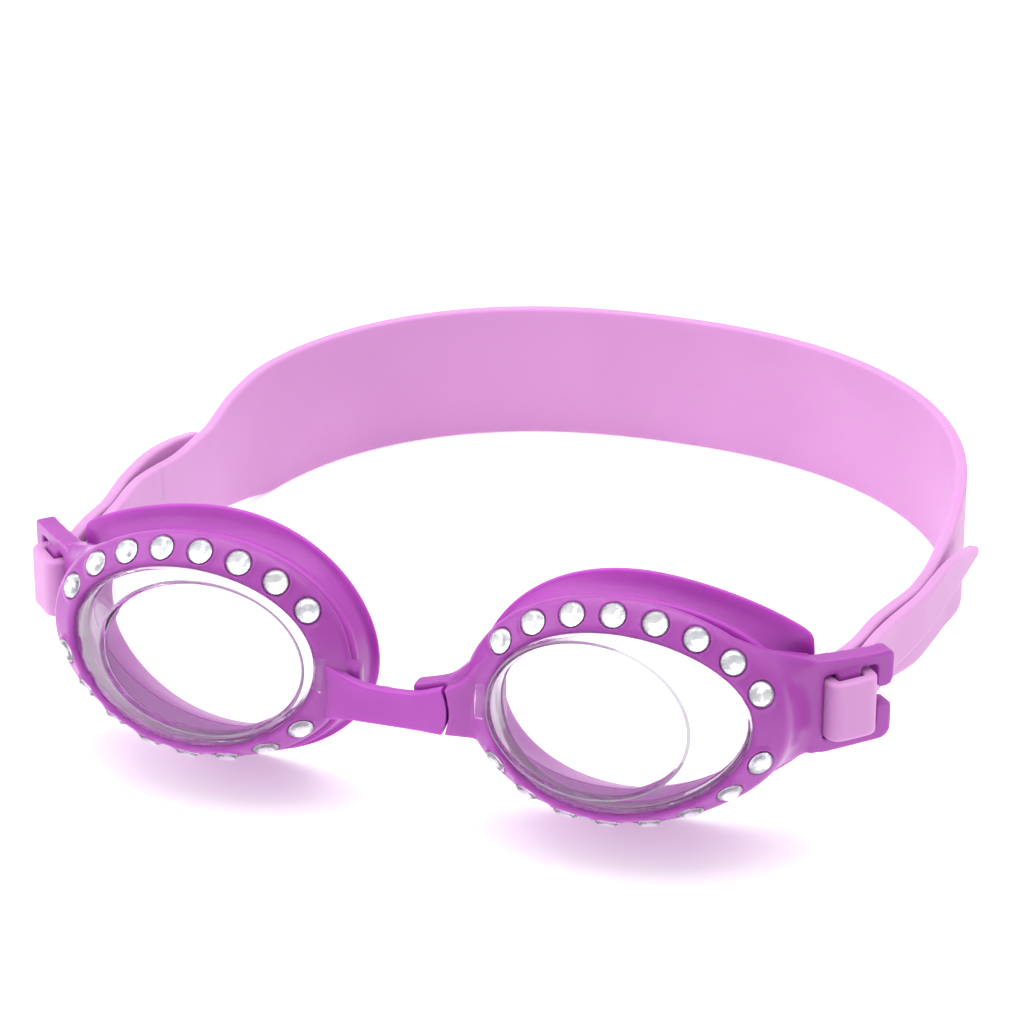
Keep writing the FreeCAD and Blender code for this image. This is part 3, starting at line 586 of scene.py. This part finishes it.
def lug_plate():
    """The C-shaped end: a window for the strap that is open to the outside through a small gap."""
    # Corners in the lug's own frame: along, up, radius.
    outline = [
        (51.0, -8.9, 0.2), (54.4, -9.3, 3.0), (59.0, -9.3, 2.0), (LUG_END, -9.2, 2.2),
        (LUG_END, -3.2, 1.0), (62.1, -3.2, 0.6), (62.1, -7.0, 0.5), (53.1, -7.0, 0.5),
        (53.1, 3.3, 0.5), (62.1, 3.3, 0.5), (62.1, -0.65, 0.8), (LUG_END, -0.65, 1.0),
        (LUG_END + 0.4, 5.2, 1.6), (61.0, 5.1, 2.0), (55.6, 5.6, 3.0), (51.0, 6.1, 0.2),
    ]
    corners = [np.array([[s, z, 0.0]]) for s, z, _ in outline]
    loop = rounded(corners, [r for _, _, r in outline])[0]
    work = bmesh.new()
    ring = [work.verts.new(Vector((s, 0.0, z))) for s, z, _ in loop]
    base = work.faces.new(ring)
    raised = bmesh.ops.extrude_face_region(work, geom=[base])
    top = [e for e in raised["geom"] if isinstance(e, bmesh.types.BMVert)]
    bmesh.ops.translate(work, verts=top, vec=Vector((0, LUG_FACE - LUG_BACK, 0)))
    bmesh.ops.recalc_face_normals(work, faces=work.faces)
    flat = [f for f in work.faces if len(f.verts) > 8]
    edges = {e for f in flat for e in f.edges}
    bmesh.ops.bevel(work, geom=list(edges), offset=LUG_ROUND, segments=4, profile=0.5,
                    affect="EDGES", clamp_overlap=True)
    bmesh.ops.triangulate(work, faces=[f for f in work.faces if len(f.verts) > 4])
    for vertex in work.verts:
        x, y = lug_xy(vertex.co.x, LUG_BACK + vertex.co.y)
        vertex.co = Vector((x, y, vertex.co.z + CUP_Z)) * MM
    bmesh.ops.recalc_face_normals(work, faces=work.faces)
    return put_built("plate", work)


def lug_bar():
    """The upright bar in the window, which the strap goes round."""
    bar = rounded_box("bar", (55.2, -31.45, -7.5), (59.2, -28.35, 3.8), 0.7)
    turn = Matrix.Rotation(math.radians(45), 4, "Z")
    bar.data.transform(Matrix.Translation(Vector((0, CUP_Y, CUP_Z)) * MM) @ turn)
    return bar


HINGE_X, HINGE_Y = 4.2, 4.5
BARREL_TALL, BARREL_FOOT = 3.2, -7.9
BEAD_RADIUS, BEAD_LIFT, TONGUE_HALF = 1.45, 0.4, 0.65
TONGUE_BOTTOM, TONGUE_TOP = -7.5, -4.3


def slab(x, front, back, bottom, top, front_radius, back_radius):
    """A section square to X with rounded corners, and with points up its front and its back."""
    middles = [0.2, 0.4, 0.6, 0.8]
    places = [(front, bottom)] + [(front, bottom + (top - bottom) * t) for t in middles]
    places += [(front, top), (back, top)]
    places += [(back, top - (top - bottom) * t) for t in middles] + [(back, bottom)]
    radii = [front_radius] + [0.05] * 4 + [front_radius, back_radius] + [0.05] * 4 + [back_radius]
    corners = [np.array([[x, y + CUP_Y, z + CUP_Z]]) for y, z in places]
    return rounded(corners, radii)[0]


BULGE_OUT, BULGE_MIDDLE, BULGE_HALF = 0.8, -4.25, 3.8


def seam_bulge(z):
    """How far the band's rounded right end reaches past its corners, by height."""
    return BULGE_OUT * np.maximum(0, 1 - ((z - BULGE_MIDDLE) / BULGE_HALF) ** 2)


# Sections of the lid over the right barrel: x, front y, back y, bottom, top.
HOOD = [(1.0, 3.3, 5.7, -2.8, -1.6), (1.5, 3.2, 5.9, -3.0, -1.3), (3.5, 3.2, 5.9, -3.0, -0.7),
        (6.3, 3.2, 5.9, -3.0, 0.35), (8.5, 3.2, 6.1, -3.5, 2.3), (10.5, 3.4, 6.8, -4.0, 4.4),
        (12.4, 3.6, 7.2, -5.0, 6.2)]


def tongue(with_hood):
    """The nose side: a bead on a thin tongue, and on one side a lid over the barrel."""
    def block(name, low, high, radius):
        low = np.array(low) + (0, CUP_Y, CUP_Z)
        high = np.array(high) + (0, CUP_Y, CUP_Z)
        return rounded_box(name, low, high, radius)

    foot = np.array([HINGE_X, CUP_Y + HINGE_Y, CUP_Z + BARREL_FOOT + BEAD_LIFT])
    pieces = [
        lathe("bead", [(BEAD_RADIUS, 0), (BEAD_RADIUS, BARREL_TALL)], foot, (0, 0, 1)),
        block("tongue", (HINGE_X, HINGE_Y - TONGUE_HALF, TONGUE_BOTTOM),
              (12.3, HINGE_Y + TONGUE_HALF, TONGUE_TOP), 0.2),
        block("tongue root", (7.3, 3.2, TONGUE_BOTTOM), (12.8, 5.8, -0.4), 0.8),
    ]
    if with_hood:
        sections = [slab(*key, 0.6, 0.8) for key in blended(HOOD, 6)]
        pieces.append(loops_object("hood", np.array(sections), around=False, caps=True))
    return pieces


# Sections of the flare from tongue to rim: x, front y, back y, bottom, top.
OPEN_FLARE = [(6.4, 1.1, 5.9, -8.1, -0.4), (7.6, 1.15, 5.9, -8.05, 0.1),
              (9.2, 1.3, 6.1, -8.0, 1.4), (10.8, 1.5, 6.6, -8.1, 3.4),
              (12.4, 1.8, 7.2, -8.4, 5.6), (14.0, 2.4, 7.8, -9.0, 7.6)]
COVERED_FLARE = [(7.4, 3.2, 5.8, -7.6, -0.6), (8.8, 3.0, 6.0, -7.7, 0.6),
                 (10.2, 2.8, 6.4, -7.9, 2.6), (11.8, 2.4, 7.0, -8.3, 5.2),
                 (13.6, 2.4, 7.8, -9.0, 7.6)]
# The open flare's end is hollowed by this share of the band's bulge, fading out over a length.
HOLLOW_SHARE, HOLLOW_LONG = 0.9, 2.5


def nose_flare(keys, seam):
    """The swelling of the rim into the tongue, hollow-ended where the band's end meets it."""
    keys = blended(keys, 6)
    sections = []
    for x, front, back, bottom, top in keys:
        section = slab(x, front, back, bottom, top, 0.45, 1.0)
        if seam:
            fade = max(0.0, 1 - (x - keys[0][0]) / HOLLOW_LONG)
            section[:, 0] += HOLLOW_SHARE * seam_bulge(section[:, 2] - CUP_Z) * fade
        sections.append(section)
    return loops_object("flare", np.array(sections), around=False, caps=True)


def stone_places():
    """Centre and axis of each stone on the +X side. The centre comes from the CAD node."""
    places = []
    for number in range(1, 17):
        low, high = node_box("right_stone_%02d" % number)
        centre = (low + high) / 2
        local = (centre - CUP_CENTRE) @ CUP_AXES.T
        theta = math.atan2(local[1] / ROW_HIGH, local[0] / ROW_WIDE)
        for _ in range(20):
            miss = local - row(np.array(theta))
            along = row(np.array(theta + STEP)) - row(np.array(theta - STEP))
            theta += 2 * STEP * float(miss[:2] @ along[:2]) / float(along[:2] @ along[:2])
        places.append((centre, face_normal(np.array([theta]))[0] @ CUP_AXES))
    return places


STONES = stone_places()
# Heights above the rim's face: the CAD stone's middle, the foil that shows, and the cut above it.
STONE_MIDDLE = 0.15
STONE_SITS = 0.4
STONE_SHOWS = 0.75
SEAT_RADIUS, SEAT_WALL, SEAT_LEVEL, SEAT_REACH = 2.15, 0.3, 0.0, 1.2


def settings():
    """A low cup round each stone."""
    made = []
    for centre, axis in STONES:
        base = centre - axis * STONE_MIDDLE
        profile = [(2.4, -1.2), (2.4, 0.2), (2.35, 0.45), (2.2, 0.62), (2.0, 0.5), (1.97, -0.35)]
        made.append(lathe("setting", profile, base, axis))
    return made


def press_seats(rim):
    """Sink a flat round seat into the rim under each stone."""
    flat = np.empty(3 * len(rim.data.vertices))
    rim.data.vertices.foreach_get("co", flat)
    points = flat.reshape(-1, 3) / MM
    for centre, axis in STONES:
        gap = points - (centre - axis * STONE_MIDDLE)
        height = gap @ axis
        across = np.linalg.norm(gap - height[:, None] * axis, axis=1)
        share = np.clip((SEAT_RADIUS - across) / SEAT_WALL, 0, 1) * (np.abs(height) < SEAT_REACH)
        points -= (share * np.maximum(0, height - SEAT_LEVEL))[:, None] * axis
    rim.data.vertices.foreach_set("co", (points * MM).ravel())
    rim.data.update()


def make_frames():
    """The +X rim is open beside the band. The -X one is covered by it, and is built mirrored."""
    for side in SIDES:
        covered = side == "left"
        pieces = [rim_ring(), lug_root(), lug_plate()]
        pieces.append(nose_flare(COVERED_FLARE if covered else OPEN_FLARE, not covered))
        pieces.append(lug_bar())
        pieces += tongue(not covered)
        pieces += settings()
        rim = moulded(join("rim", pieces))
        press_seats(rim)
        if covered:
            right_hand = rim
            rim = mirrored(right_hand, "rim")
            bpy.data.objects.remove(right_hand)
        rim.name = side + "_eye_rim"
        dress(rim, RIM)
        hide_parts(side + "_frame")
        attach(rim, side + "_cup")


# ------------------------------------------------------------
# Lens
# ------------------------------------------------------------

LENS_GAP, LENS_THICK = 0.12, 0.7
TAB_SIZE = (1.4, 5.2, 0.8)


def lens_cup():
    """A clear cup: flat window, sloping side and a thick edge that sits in the rim."""
    seat = LIP_FRONT - LENS_GAP
    outer = [
        window(THETA, 0.02), window(THETA, 0.5), window(THETA, 0.978), window(THETA, 0.995),
        window(THETA, 1.0, 0.0, 0.12), opening(THETA, LENS_GAP, -0.3),
        opening(THETA, LENS_GAP, 0.2), opening(THETA, LENS_GAP, seat),
    ]
    inner = [
        opening(THETA, LENS_GAP + LENS_THICK, seat), opening(THETA, LENS_GAP + LENS_THICK, 0.9),
        window(THETA, 1.0, LENS_THICK * 0.9, LENS_THICK + 0.15),
        window(THETA, 0.97, LENS_THICK * 0.9, LENS_THICK), window(THETA, 0.5, 0.0, LENS_THICK),
        window(THETA, 0.02, 0.0, LENS_THICK),
    ]
    radii = [0.1, 0.1, 0.1, 0.1, 0.15, 0.3, 0.3, 0.2, 0.2, 0.5, 0.2, 0.1, 0.1, 0.1]
    section = rounded(outer + inner, radii, steps=3, closed=False)
    return loops_object("lens", from_cup(section), section=False)


# The painted line round the window: its inner and outer edge as shares of the window's size, and
# its depth.
LINE_FROM, LINE_TO, LINE_DEEP = 0.98, 1.01, 0.35


def on_painted_window_line(cup):
    """One for each face on the thin painted line round the window's front, nought for the rest."""
    marks = []
    for polygon in cup.data.polygons:
        u, v, w = (np.array(polygon.center) / MM - CUP_CENTRE) @ CUP_AXES.T
        across, up = u - WINDOW_U, v - WINDOW_V
        ratio = math.hypot(across / WINDOW_WIDE, up / WINDOW_HIGH)
        near = w > window_level(across, up) - LINE_DEEP
        marks.append(int(LINE_FROM < ratio < LINE_TO and near))
    return marks


def lens_tab():
    """The clear tab on the nose side that locks the lens in the rim."""
    nose = opening(np.array([math.pi]))[0]
    low = np.array([nose[0] - 2.0, nose[1] - 2.6, nose[2] + 0.35])
    tab = rounded_box("tab", low, low + TAB_SIZE, 0.2)
    points = np.array([v.co for v in tab.data.vertices]) / MM
    for vertex, place in zip(tab.data.vertices, from_cup(points)):
        vertex.co = Vector(place) * MM
    tab.data.update()
    return tab


def make_lenses():
    cup = lens_cup()
    work = bmesh.new()
    work.from_mesh(cup.data)
    # The two small holes at the middle of the window are closed.
    bmesh.ops.holes_fill(work, edges=[e for e in work.edges if e.is_boundary])
    bmesh.ops.recalc_face_normals(work, faces=work.faces)
    work.to_mesh(cup.data)
    work.free()
    edges = on_painted_window_line(cup)
    for side, lens in both_sides(cup, "lens_cup"):
        dress(lens, LENS, LENS_PAINTED_LINE)
        # Faces round the window's edge take the painted grey line that stands in for the light's
        # line there.
        lens.data.polygons.foreach_set("material_index", edges)
        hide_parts(side + "_lens")
        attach(lens, side + "_cup")
    for side, tab in both_sides(lens_tab(), "lens_tab"):
        dress(tab, LENS)
        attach(tab, side + "_cup")


# ------------------------------------------------------------
# Gasket
# ------------------------------------------------------------


def make_gaskets():
    """A collar round the rim's neck, a valley behind it, and the flange that meets the face."""
    collar_out = (1.3 - 0.7 * np.sin(THETA) + 1.3 * np.cos(THETA) ** 2)[:, None]

    def collar(extra, behind):
        return rear(THETA, 0.0, behind) + outwards(THETA) * (collar_out + extra)

    edge = flange(THETA)
    valley = collar(-0.9, 2.6)
    middle = (valley * 0.5 + flange(THETA, 0.6) * 0.5) + W_AXIS * -0.4
    corners = [
        rear(THETA, NECK_OUT), collar(-0.25, 0.15), collar(0.0, 1.1), valley, middle,
        flange(THETA, 0.9, -0.25), edge, flange(THETA, 0.2, 1.1), eye_hole(THETA, 0.9),
        rear(THETA, -1.6, 2.6), rear(THETA, NECK_IN),
    ]
    radii = [0.2, 0.4, 0.6, 1.0, 2.0, 0.6, 0.5, 0.5, 2.5, 1.5, 0.3]
    gasket = loops_object("gasket", from_cup(rounded(corners, radii, steps=6)))
    for side, piece in both_sides(gasket, "face_seal"):
        dress(piece, GASKET)
        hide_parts(side + "_gasket")
        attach(piece, side + "_cup")


# ------------------------------------------------------------
# Stones
# ------------------------------------------------------------

# A stone's radius, its turn against the one before, and its cone's depth as a share of its height.
GEM_RADIUS, GEM_TURN, FOIL_DEPTH = 1.93, 0.37, 0.45


def gem_mesh(name):
    """A round cut stone, girdle radius 1: table, crown facets, girdle and a foiled low cone."""
    eighth = math.pi / 4
    # Corners, radius, height, turn of the table, the crown's middle, the girdle and the back.
    rings = [(8, 0.56, 1.0, 0.0), (8, 0.80, 0.62, eighth / 2), (16, 1.0, 0.24, 0.0),
             (16, 1.0, 0.05, 0.0), (16, 0.90, 0.0, 0.0)]
    points = []
    for corners, radius, height, turn in rings:
        for k in range(corners):
            angle = eighth * k * 8 / corners + turn
            points.append((radius * math.cos(angle), radius * math.sin(angle), height))
    table, middle, girdle, low, back = 0, 8, 16, 32, 48
    faces = [tuple(range(8))]
    for k in range(8):
        after = (k + 1) % 8
        left, mid, right = 2 * k, 2 * k + 1, (2 * k + 2) % 16
        faces += [
            (table + k, middle + k, table + after),
            (middle + k, girdle + left, girdle + mid),
            (middle + k, girdle + mid, girdle + right),
            (table + after, middle + k, girdle + right, middle + after),
        ]
    for k in range(16):
        after = (k + 1) % 16
        faces.append((girdle + k, low + k, low + after, girdle + after))
        faces.append((low + k, back + k, back + after, low + after))
    cut = len(faces)
    centre = len(points)
    points.append((0, 0, -FOIL_DEPTH))
    faces += [(back + k, centre, back + (k + 1) % 16) for k in range(16)]
    mesh = bpy.data.meshes.new(name)
    mesh.from_pydata(points, [], faces)
    for index, polygon in enumerate(mesh.polygons):
        polygon.material_index = int(index >= cut)
    mesh.update()
    return mesh


def make_stones():
    for side, sign in SIDES.items():
        for number, (centre, axis) in enumerate(STONES, start=1):
            name = "%s_gem_%02d" % (side, number)
            mesh = gem_mesh(name)
            base = Vector(centre + axis * (STONE_SITS - STONE_MIDDLE)) * MM
            turn = Vector(axis).to_track_quat("Z", "Y").to_matrix().to_4x4()
            spin = Matrix.Rotation(GEM_TURN * number, 4, "Z")
            size = Matrix.Diagonal((GEM_RADIUS * MM, GEM_RADIUS * MM, STONE_SHOWS * MM, 1))
            mesh.transform(Matrix.Translation(base) @ turn @ spin @ size)
            if sign < 0:
                to_other_side(mesh)
            gem = tidy(put(name, mesh))
            # Clearing the materials forgets which faces are foil, so it is kept and set again.
            backs = [polygon.material_index for polygon in gem.data.polygons]
            dress(gem, STONE, FOIL)
            gem.data.polygons.foreach_set("material_index", backs)
            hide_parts("%s_stone_%02d" % (side, number))
            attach(gem, side + "_cup")


# ------------------------------------------------------------
# Nose bridge
# ------------------------------------------------------------

# Sections of the band from its left end to its right: x, front y, back y, bottom, top.
BAND = [(-13.0, 1.3, 3.4, -8.6, 1.0), (-11.6, 0.8, 3.2, -8.4, 0.5), (-10.0, 0.85, 3.0, -8.15, -0.4),
        (-8.4, 0.95, 2.9, -8.0, -1.15), (-6.0, 0.9, 2.8, -7.95, -1.85),
        (-2.0, 0.9, 2.8, -7.9, -2.05), (2.0, 0.9, 2.8, -7.9, -1.8), (4.6, 0.95, 2.8, -8.0, -0.9),
        (6.0, 1.05, 2.8, -8.1, -0.4)]
BULGE_START, BULGE_LONG = 3.0, 3.0
BARREL_BORE, BARREL_RADIUS, BARREL_BEVEL = 1.51, 2.4, 0.2
# Half the angle of the gap that the barrel has for the rim's tongue, in degrees.
BARREL_GAP = 38


def make_bridge():
    """A dog-bone band with rounded edges, and the two barrels behind it."""
    sections = []
    for x, front, back, bottom, top in blended(BAND, 8):
        section = slab(x, front, back, bottom, top, 0.6, 0.7)
        share = max(0.0, (x - BULGE_START) / BULGE_LONG)
        section[:, 0] += seam_bulge(section[:, 2] - CUP_Z) * share
        sections.append(section)
    sections = np.array(sections)
    # The last section is drawn in a little, which rounds the band's end.
    middle = sections[-1].mean(0)
    sections[-1] = middle + (sections[-1] - middle) * [1, 0.93, 0.98]
    pieces = [loops_object("band", sections, around=False, caps=True)]
    for sign in (1, -1):
        centre = np.array([sign * HINGE_X, CUP_Y + HINGE_Y, CUP_Z + BARREL_FOOT])
        shoulder, top = BARREL_RADIUS - BARREL_BEVEL, BARREL_TALL + 0.25
        rings = [(BARREL_BORE, 0.2), (shoulder, 0.2), (BARREL_RADIUS, 0.4),
                 (BARREL_RADIUS, BARREL_TALL), (shoulder, top), (BARREL_BORE, top)]
        arc = np.linspace(math.radians(BARREL_GAP), math.radians(360 - BARREL_GAP), 40)
        if sign < 0:
            arc = math.pi - arc
        grid = np.array([[centre + (r * math.cos(a), r * math.sin(a), h) for r, h in rings]
                         for a in arc])
        pieces.append(loops_object("barrel", grid, around=False, caps=True))
    bridge = join("nose_band", pieces)
    dress(bridge, BRIDGE)
    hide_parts("nose_bridge")
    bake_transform(bridge)


# ------------------------------------------------------------
# Strap
# ------------------------------------------------------------

STRAP_THICK, STRAP_EDGE, FLOOR_GAP = 1.9, 0.55, 0.02
# Plan of the strap's middle line: distance behind the cups, distance from the middle.
ARM_PLAN = [(19.7, 57.35), (22.0, 57.9), (25.0, 58.75), (29.0, 59.7), (33.0, 60.3), (40.0, 60.85),
            (46.0, 61.75), (52.0, 62.55), (58.0, 62.8), (68.0, 62.5), (79.5, 62.05)]
TAIL_PLAN = [(24.4, 62.0), (26.0, 62.1), (29.0, 62.35), (33.0, 62.6), (40.0, 63.05), (46.0, 63.95),
             (52.0, 64.85), (60.0, 65.35), (70.0, 65.6), (83.0, 65.8)]
# Heights of the edges above the cups' middle, by distance behind the cups.
ARM_TOP = [(16.0, 2.7), (24.0, 2.3), (38.0, 1.4), (47.0, 0.4), (58.0, -1.6), (70.0, -3.6),
           (79.5, -3.9), (90.0, -2.0), (100.0, -0.9), (112.0, -0.8), (145.0, -0.8)]
ARM_BOTTOM = [(16.0, -6.6), (24.0, -6.9), (40.0, -10.2), (60.0, -14.9), (79.5, -19.3),
              (92.0, -22.4), (101.0, -24.1), (145.0, -24.1)]
TAIL_TOP = [(20.0, 2.7), (32.0, 2.1), (40.0, 1.0), (54.0, -0.4), (62.0, -1.1), (71.0, -2.9),
            (81.0, -5.9), (86.0, -7.6)]
TAIL_BOTTOM = [(20.0, -6.6), (40.0, -7.1), (55.0, -7.5), (66.0, -7.7), (76.0, -8.1), (86.0, -8.4)]
# The arm runs from its start to the seam with the back loop.
ARM_START, ARM_BEND, SEAM, LOOP_BEND = 19.7, 22, 60.0, 122
LOOP_START, LOOP_WIDE, LOOP_DEEP, LOOP_POWER = 79.5, 62.05, 60.65, 2.25


def along_line(points, at):
    """Smooth values at places along a list of (place, value), nowhere beyond the values given."""
    places = np.array([p for p, _ in points])
    values = np.array([v for _, v in points])
    slopes = np.diff(values) / np.diff(places)
    tangents = np.zeros(len(points))
    tangents[0], tangents[-1] = slopes[0], slopes[-1]
    for i in range(1, len(points) - 1):
        before, after = slopes[i - 1], slopes[i]
        tangents[i] = 2 * before * after / (before + after) if before * after > 0 else 0.0
    at = np.asarray(at, float)
    i = np.clip(np.searchsorted(places, at, side="right") - 1, 0, len(places) - 2)
    length = places[i + 1] - places[i]
    t = (at - places[i]) / length
    return (values[i] * (1 + 2 * t) * (1 - t) ** 2 + values[i + 1] * t * t * (3 - 2 * t)
            + length * (tangents[i] * t * (1 - t) ** 2 - tangents[i + 1] * t * t * (1 - t)))


def plan_curve(plan, start, end):
    """The strap's middle line in plan, as (x, y behind the cups)."""
    y = np.linspace(start, end, int((end - start) / 0.8) + 1)
    keys = blended([(b, a) for a, b in plan], 12)
    order = np.argsort(keys[:, 1])
    return np.stack([np.interp(y, keys[order, 1], keys[order, 0]), y], -1)


def ribbon(name, line, bottom, top, thick=STRAP_THICK):
    """A strap with rounded edges along a line in plan."""
    along = np.gradient(line, axis=0)
    along /= np.linalg.norm(along, axis=-1, keepdims=True)
    aside = np.stack([along[:, 1], -along[:, 0]], -1) * (thick / 2)
    outer, inner = line + aside, line - aside

    def at(place, z):
        above_floor = np.maximum(z + CUP_Z, FLOOR_GAP)
        return np.column_stack([place[:, 0], place[:, 1] + CUP_Y, above_floor])

    corners = [at(outer, bottom), at(outer, top), at(inner, top), at(inner, bottom)]
    grid = rounded(corners, [STRAP_EDGE] * 4, steps=4)
    return loops_object(name, grid, around=False, caps=True)


def loop_line():
    """From the seam on the +X side round the back of the head to the seam on the -X side."""
    side = plan_curve(ARM_PLAN, SEAM, LOOP_START)[:-1]
    angle = np.linspace(0, math.pi, 181)
    power = 2 / LOOP_POWER
    x = LOOP_WIDE * np.abs(np.cos(angle)) ** power * np.sign(np.cos(angle))
    y = LOOP_START + LOOP_DEEP * np.abs(np.sin(angle)) ** power
    back = np.stack([x, y], -1)
    return np.concatenate([side, back, side[::-1] * [-1, 1]])


def even(line, step):
    """The same line with its points evenly spaced."""
    gaps = np.linalg.norm(np.diff(line, axis=0), axis=-1)
    walked = np.concatenate([[0], np.cumsum(gaps)])
    at = np.linspace(0, walked[-1], int(walked[-1] / step) + 1)
    return np.stack([np.interp(at, walked, line[:, 0]), np.interp(at, walked, line[:, 1])], -1)


def strap_piece(obj, node=None):
    """Material, and the solid node it stands for hidden, if it stands for one."""
    dress(obj, STRAP)
    if node:
        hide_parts(node)


def wrap_line():
    """The strap's end in the lug: in through the window, over the bar, and out again."""
    inner, outer, front = 54.15, 60.3, 32.55
    places = [(inner, 25.9), (inner, front), (outer, front), (outer, 26.4)]
    corners = [np.array([[s, m, 0.0]]) for s, m in places]
    path = rounded(corners, [0, 1.3, 1.3, 0], steps=8, closed=False)[0]
    return even(path[:, :2], 0.25)


def make_wraps():
    plan = np.array([lug_xy(s, m) for s, m in wrap_line()]) - [0, CUP_Y]
    bottom = np.full(len(plan), STRAP_END_BOTTOM - CUP_Z)
    top = np.full(len(plan), STRAP_END_TOP - CUP_Z)
    for side, piece in both_sides(ribbon("wrap", plan, bottom, top), "wrap"):
        strap_piece(piece, side + "_strap_wrap")
        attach(piece, side + "_cup")


def make_arms():
    line = plan_curve(ARM_PLAN, ARM_START, SEAM)
    y = line[:, 1]
    arm = ribbon("arm", line, along_line(ARM_BOTTOM, y), along_line(ARM_TOP, y))
    for side, piece in both_sides(arm, "arm"):
        strap_piece(piece, side + "_strap_arm")
        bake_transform(piece)


def make_back():
    line = even(loop_line(), 0.9)[::-1]
    y = line[:, 1]
    back = ribbon("back_loop", line, along_line(ARM_BOTTOM, y), along_line(ARM_TOP, y))
    strap_piece(back, "strap_back")
    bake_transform(back)


# The free tail's fixed start runs to its seam, and the sliding tip begins hidden inside it.
TAIL_START, TAIL_BEND, TAIL_SEAM, TAIL_END = 24.4, 26, 60.0, 83.0
TAIL_HIDDEN, TAIL_SLACK = 16.0, 0.05


def tail_ribbon(name, start, end, slack):
    """A stretch of the free tail, a little smaller all round by the slack."""
    line = plan_curve(TAIL_PLAN, start, end)
    y = line[:, 1]
    return ribbon(name, line, along_line(TAIL_BOTTOM, y) + slack, along_line(TAIL_TOP, y) - slack,
                  STRAP_THICK - slack)


def make_tails():
    fixed = tail_ribbon("tail_fixed", TAIL_START, TAIL_SEAM, 0.0)
    tip = tail_ribbon("tail_tip", TAIL_SEAM - TAIL_HIDDEN, TAIL_END, TAIL_SLACK)
    for side, piece in both_sides(fixed, "tail_fixed"):
        strap_piece(piece)
        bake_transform(piece)
    for side, piece in both_sides(tip, "tail_tip"):
        strap_piece(piece, side + "_strap_tail")
        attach(piece, side + "_tail")


make_frames()
make_lenses()
make_gaskets()
make_stones()
make_bridge()
make_wraps()
make_arms()
make_back()
make_tails()

# ------------------------------------------------------------
# Stage, light and camera
# ------------------------------------------------------------


def make_floor():
    """A plain pale floor that glows a little, so that it stays white in the shade."""
    mesh = bpy.data.meshes.new("floor")
    half = 3.0
    mesh.from_pydata([(-half, -half, 0), (half, -half, 0), (half, half, 0), (-half, half, 0)], [],
                     [(0, 1, 2, 3)])
    floor = put("floor", mesh)
    lit = material("floor white", (0.92, 0.92, 0.92), 0.8, Emission_Strength=0.3)
    lit.node_tree.nodes["Principled BSDF"].inputs["Emission Color"].default_value = (1, 1, 1, 1)
    dress(floor, lit)


def make_world():
    """Soft white light from above, greyer from below."""
    world = bpy.data.worlds.new("studio")
    bpy.context.scene.world = world
    world.use_nodes = True
    tree = world.node_tree
    background = tree.nodes["Background"]
    background.inputs["Strength"].default_value = 0.8
    place = tree.nodes.new("ShaderNodeTexCoord")
    split = tree.nodes.new("ShaderNodeSeparateXYZ")
    ramp = tree.nodes.new("ShaderNodeValToRGB")
    tree.links.new(place.outputs["Generated"], split.inputs["Vector"])
    tree.links.new(split.outputs["Z"], ramp.inputs["Fac"])
    tree.links.new(ramp.outputs["Color"], background.inputs["Color"])
    stops = ramp.color_ramp.elements
    stops[0].position, stops[0].color = 0.0, (0.55, 0.55, 0.56, 1)
    stops[1].position, stops[1].color = 0.55, (1, 1, 1, 1)


def area_light(name, place, target, size, power):
    """A rectangular soft light, with its places in metres."""
    data = bpy.data.lights.new(name, "AREA")
    data.shape = "RECTANGLE"
    data.size, data.size_y = size
    data.energy = power
    light = put(name, data)
    light.location = place
    light.rotation_euler = (Vector(target) - Vector(place)).to_track_quat("-Z", "Y").to_euler()


CAMERA_TURN, CAMERA_RAISE = math.radians(18.504), math.radians(26.32)
CAMERA_FAR = 632.68
# The focal length as a share of the square picture's width, and the sensor's width.
CAMERA_LONG, SENSOR = 4500.0 / 1024.0, 36.0
AIM = (17.281, CUP_Y, CUP_Z + 30.563)


def make_camera():
    data = bpy.data.cameras.new("camera")
    data.sensor_width = SENSOR
    data.lens = CAMERA_LONG * SENSOR
    data.clip_start = 0.01
    camera = put("camera", data)
    back = Vector((math.sin(CAMERA_TURN) * math.cos(CAMERA_RAISE),
                   -math.cos(CAMERA_TURN) * math.cos(CAMERA_RAISE), math.sin(CAMERA_RAISE)))
    camera.location = (Vector(AIM) + back * CAMERA_FAR) * MM
    camera.rotation_euler = back.to_track_quat("Z", "Y").to_euler()
    bpy.context.scene.camera = camera


make_floor()
make_world()
area_light("key", (-0.05, 0.1, 0.8), (0, 0, 0.01), (1.2, 1.0), 6.5)
area_light("side", (-0.75, -0.35, 0.45), (0, 0, 0.01), (0.8, 0.6), 2.4)
make_camera()
bpy.context.scene.view_settings.view_transform = "Standard"
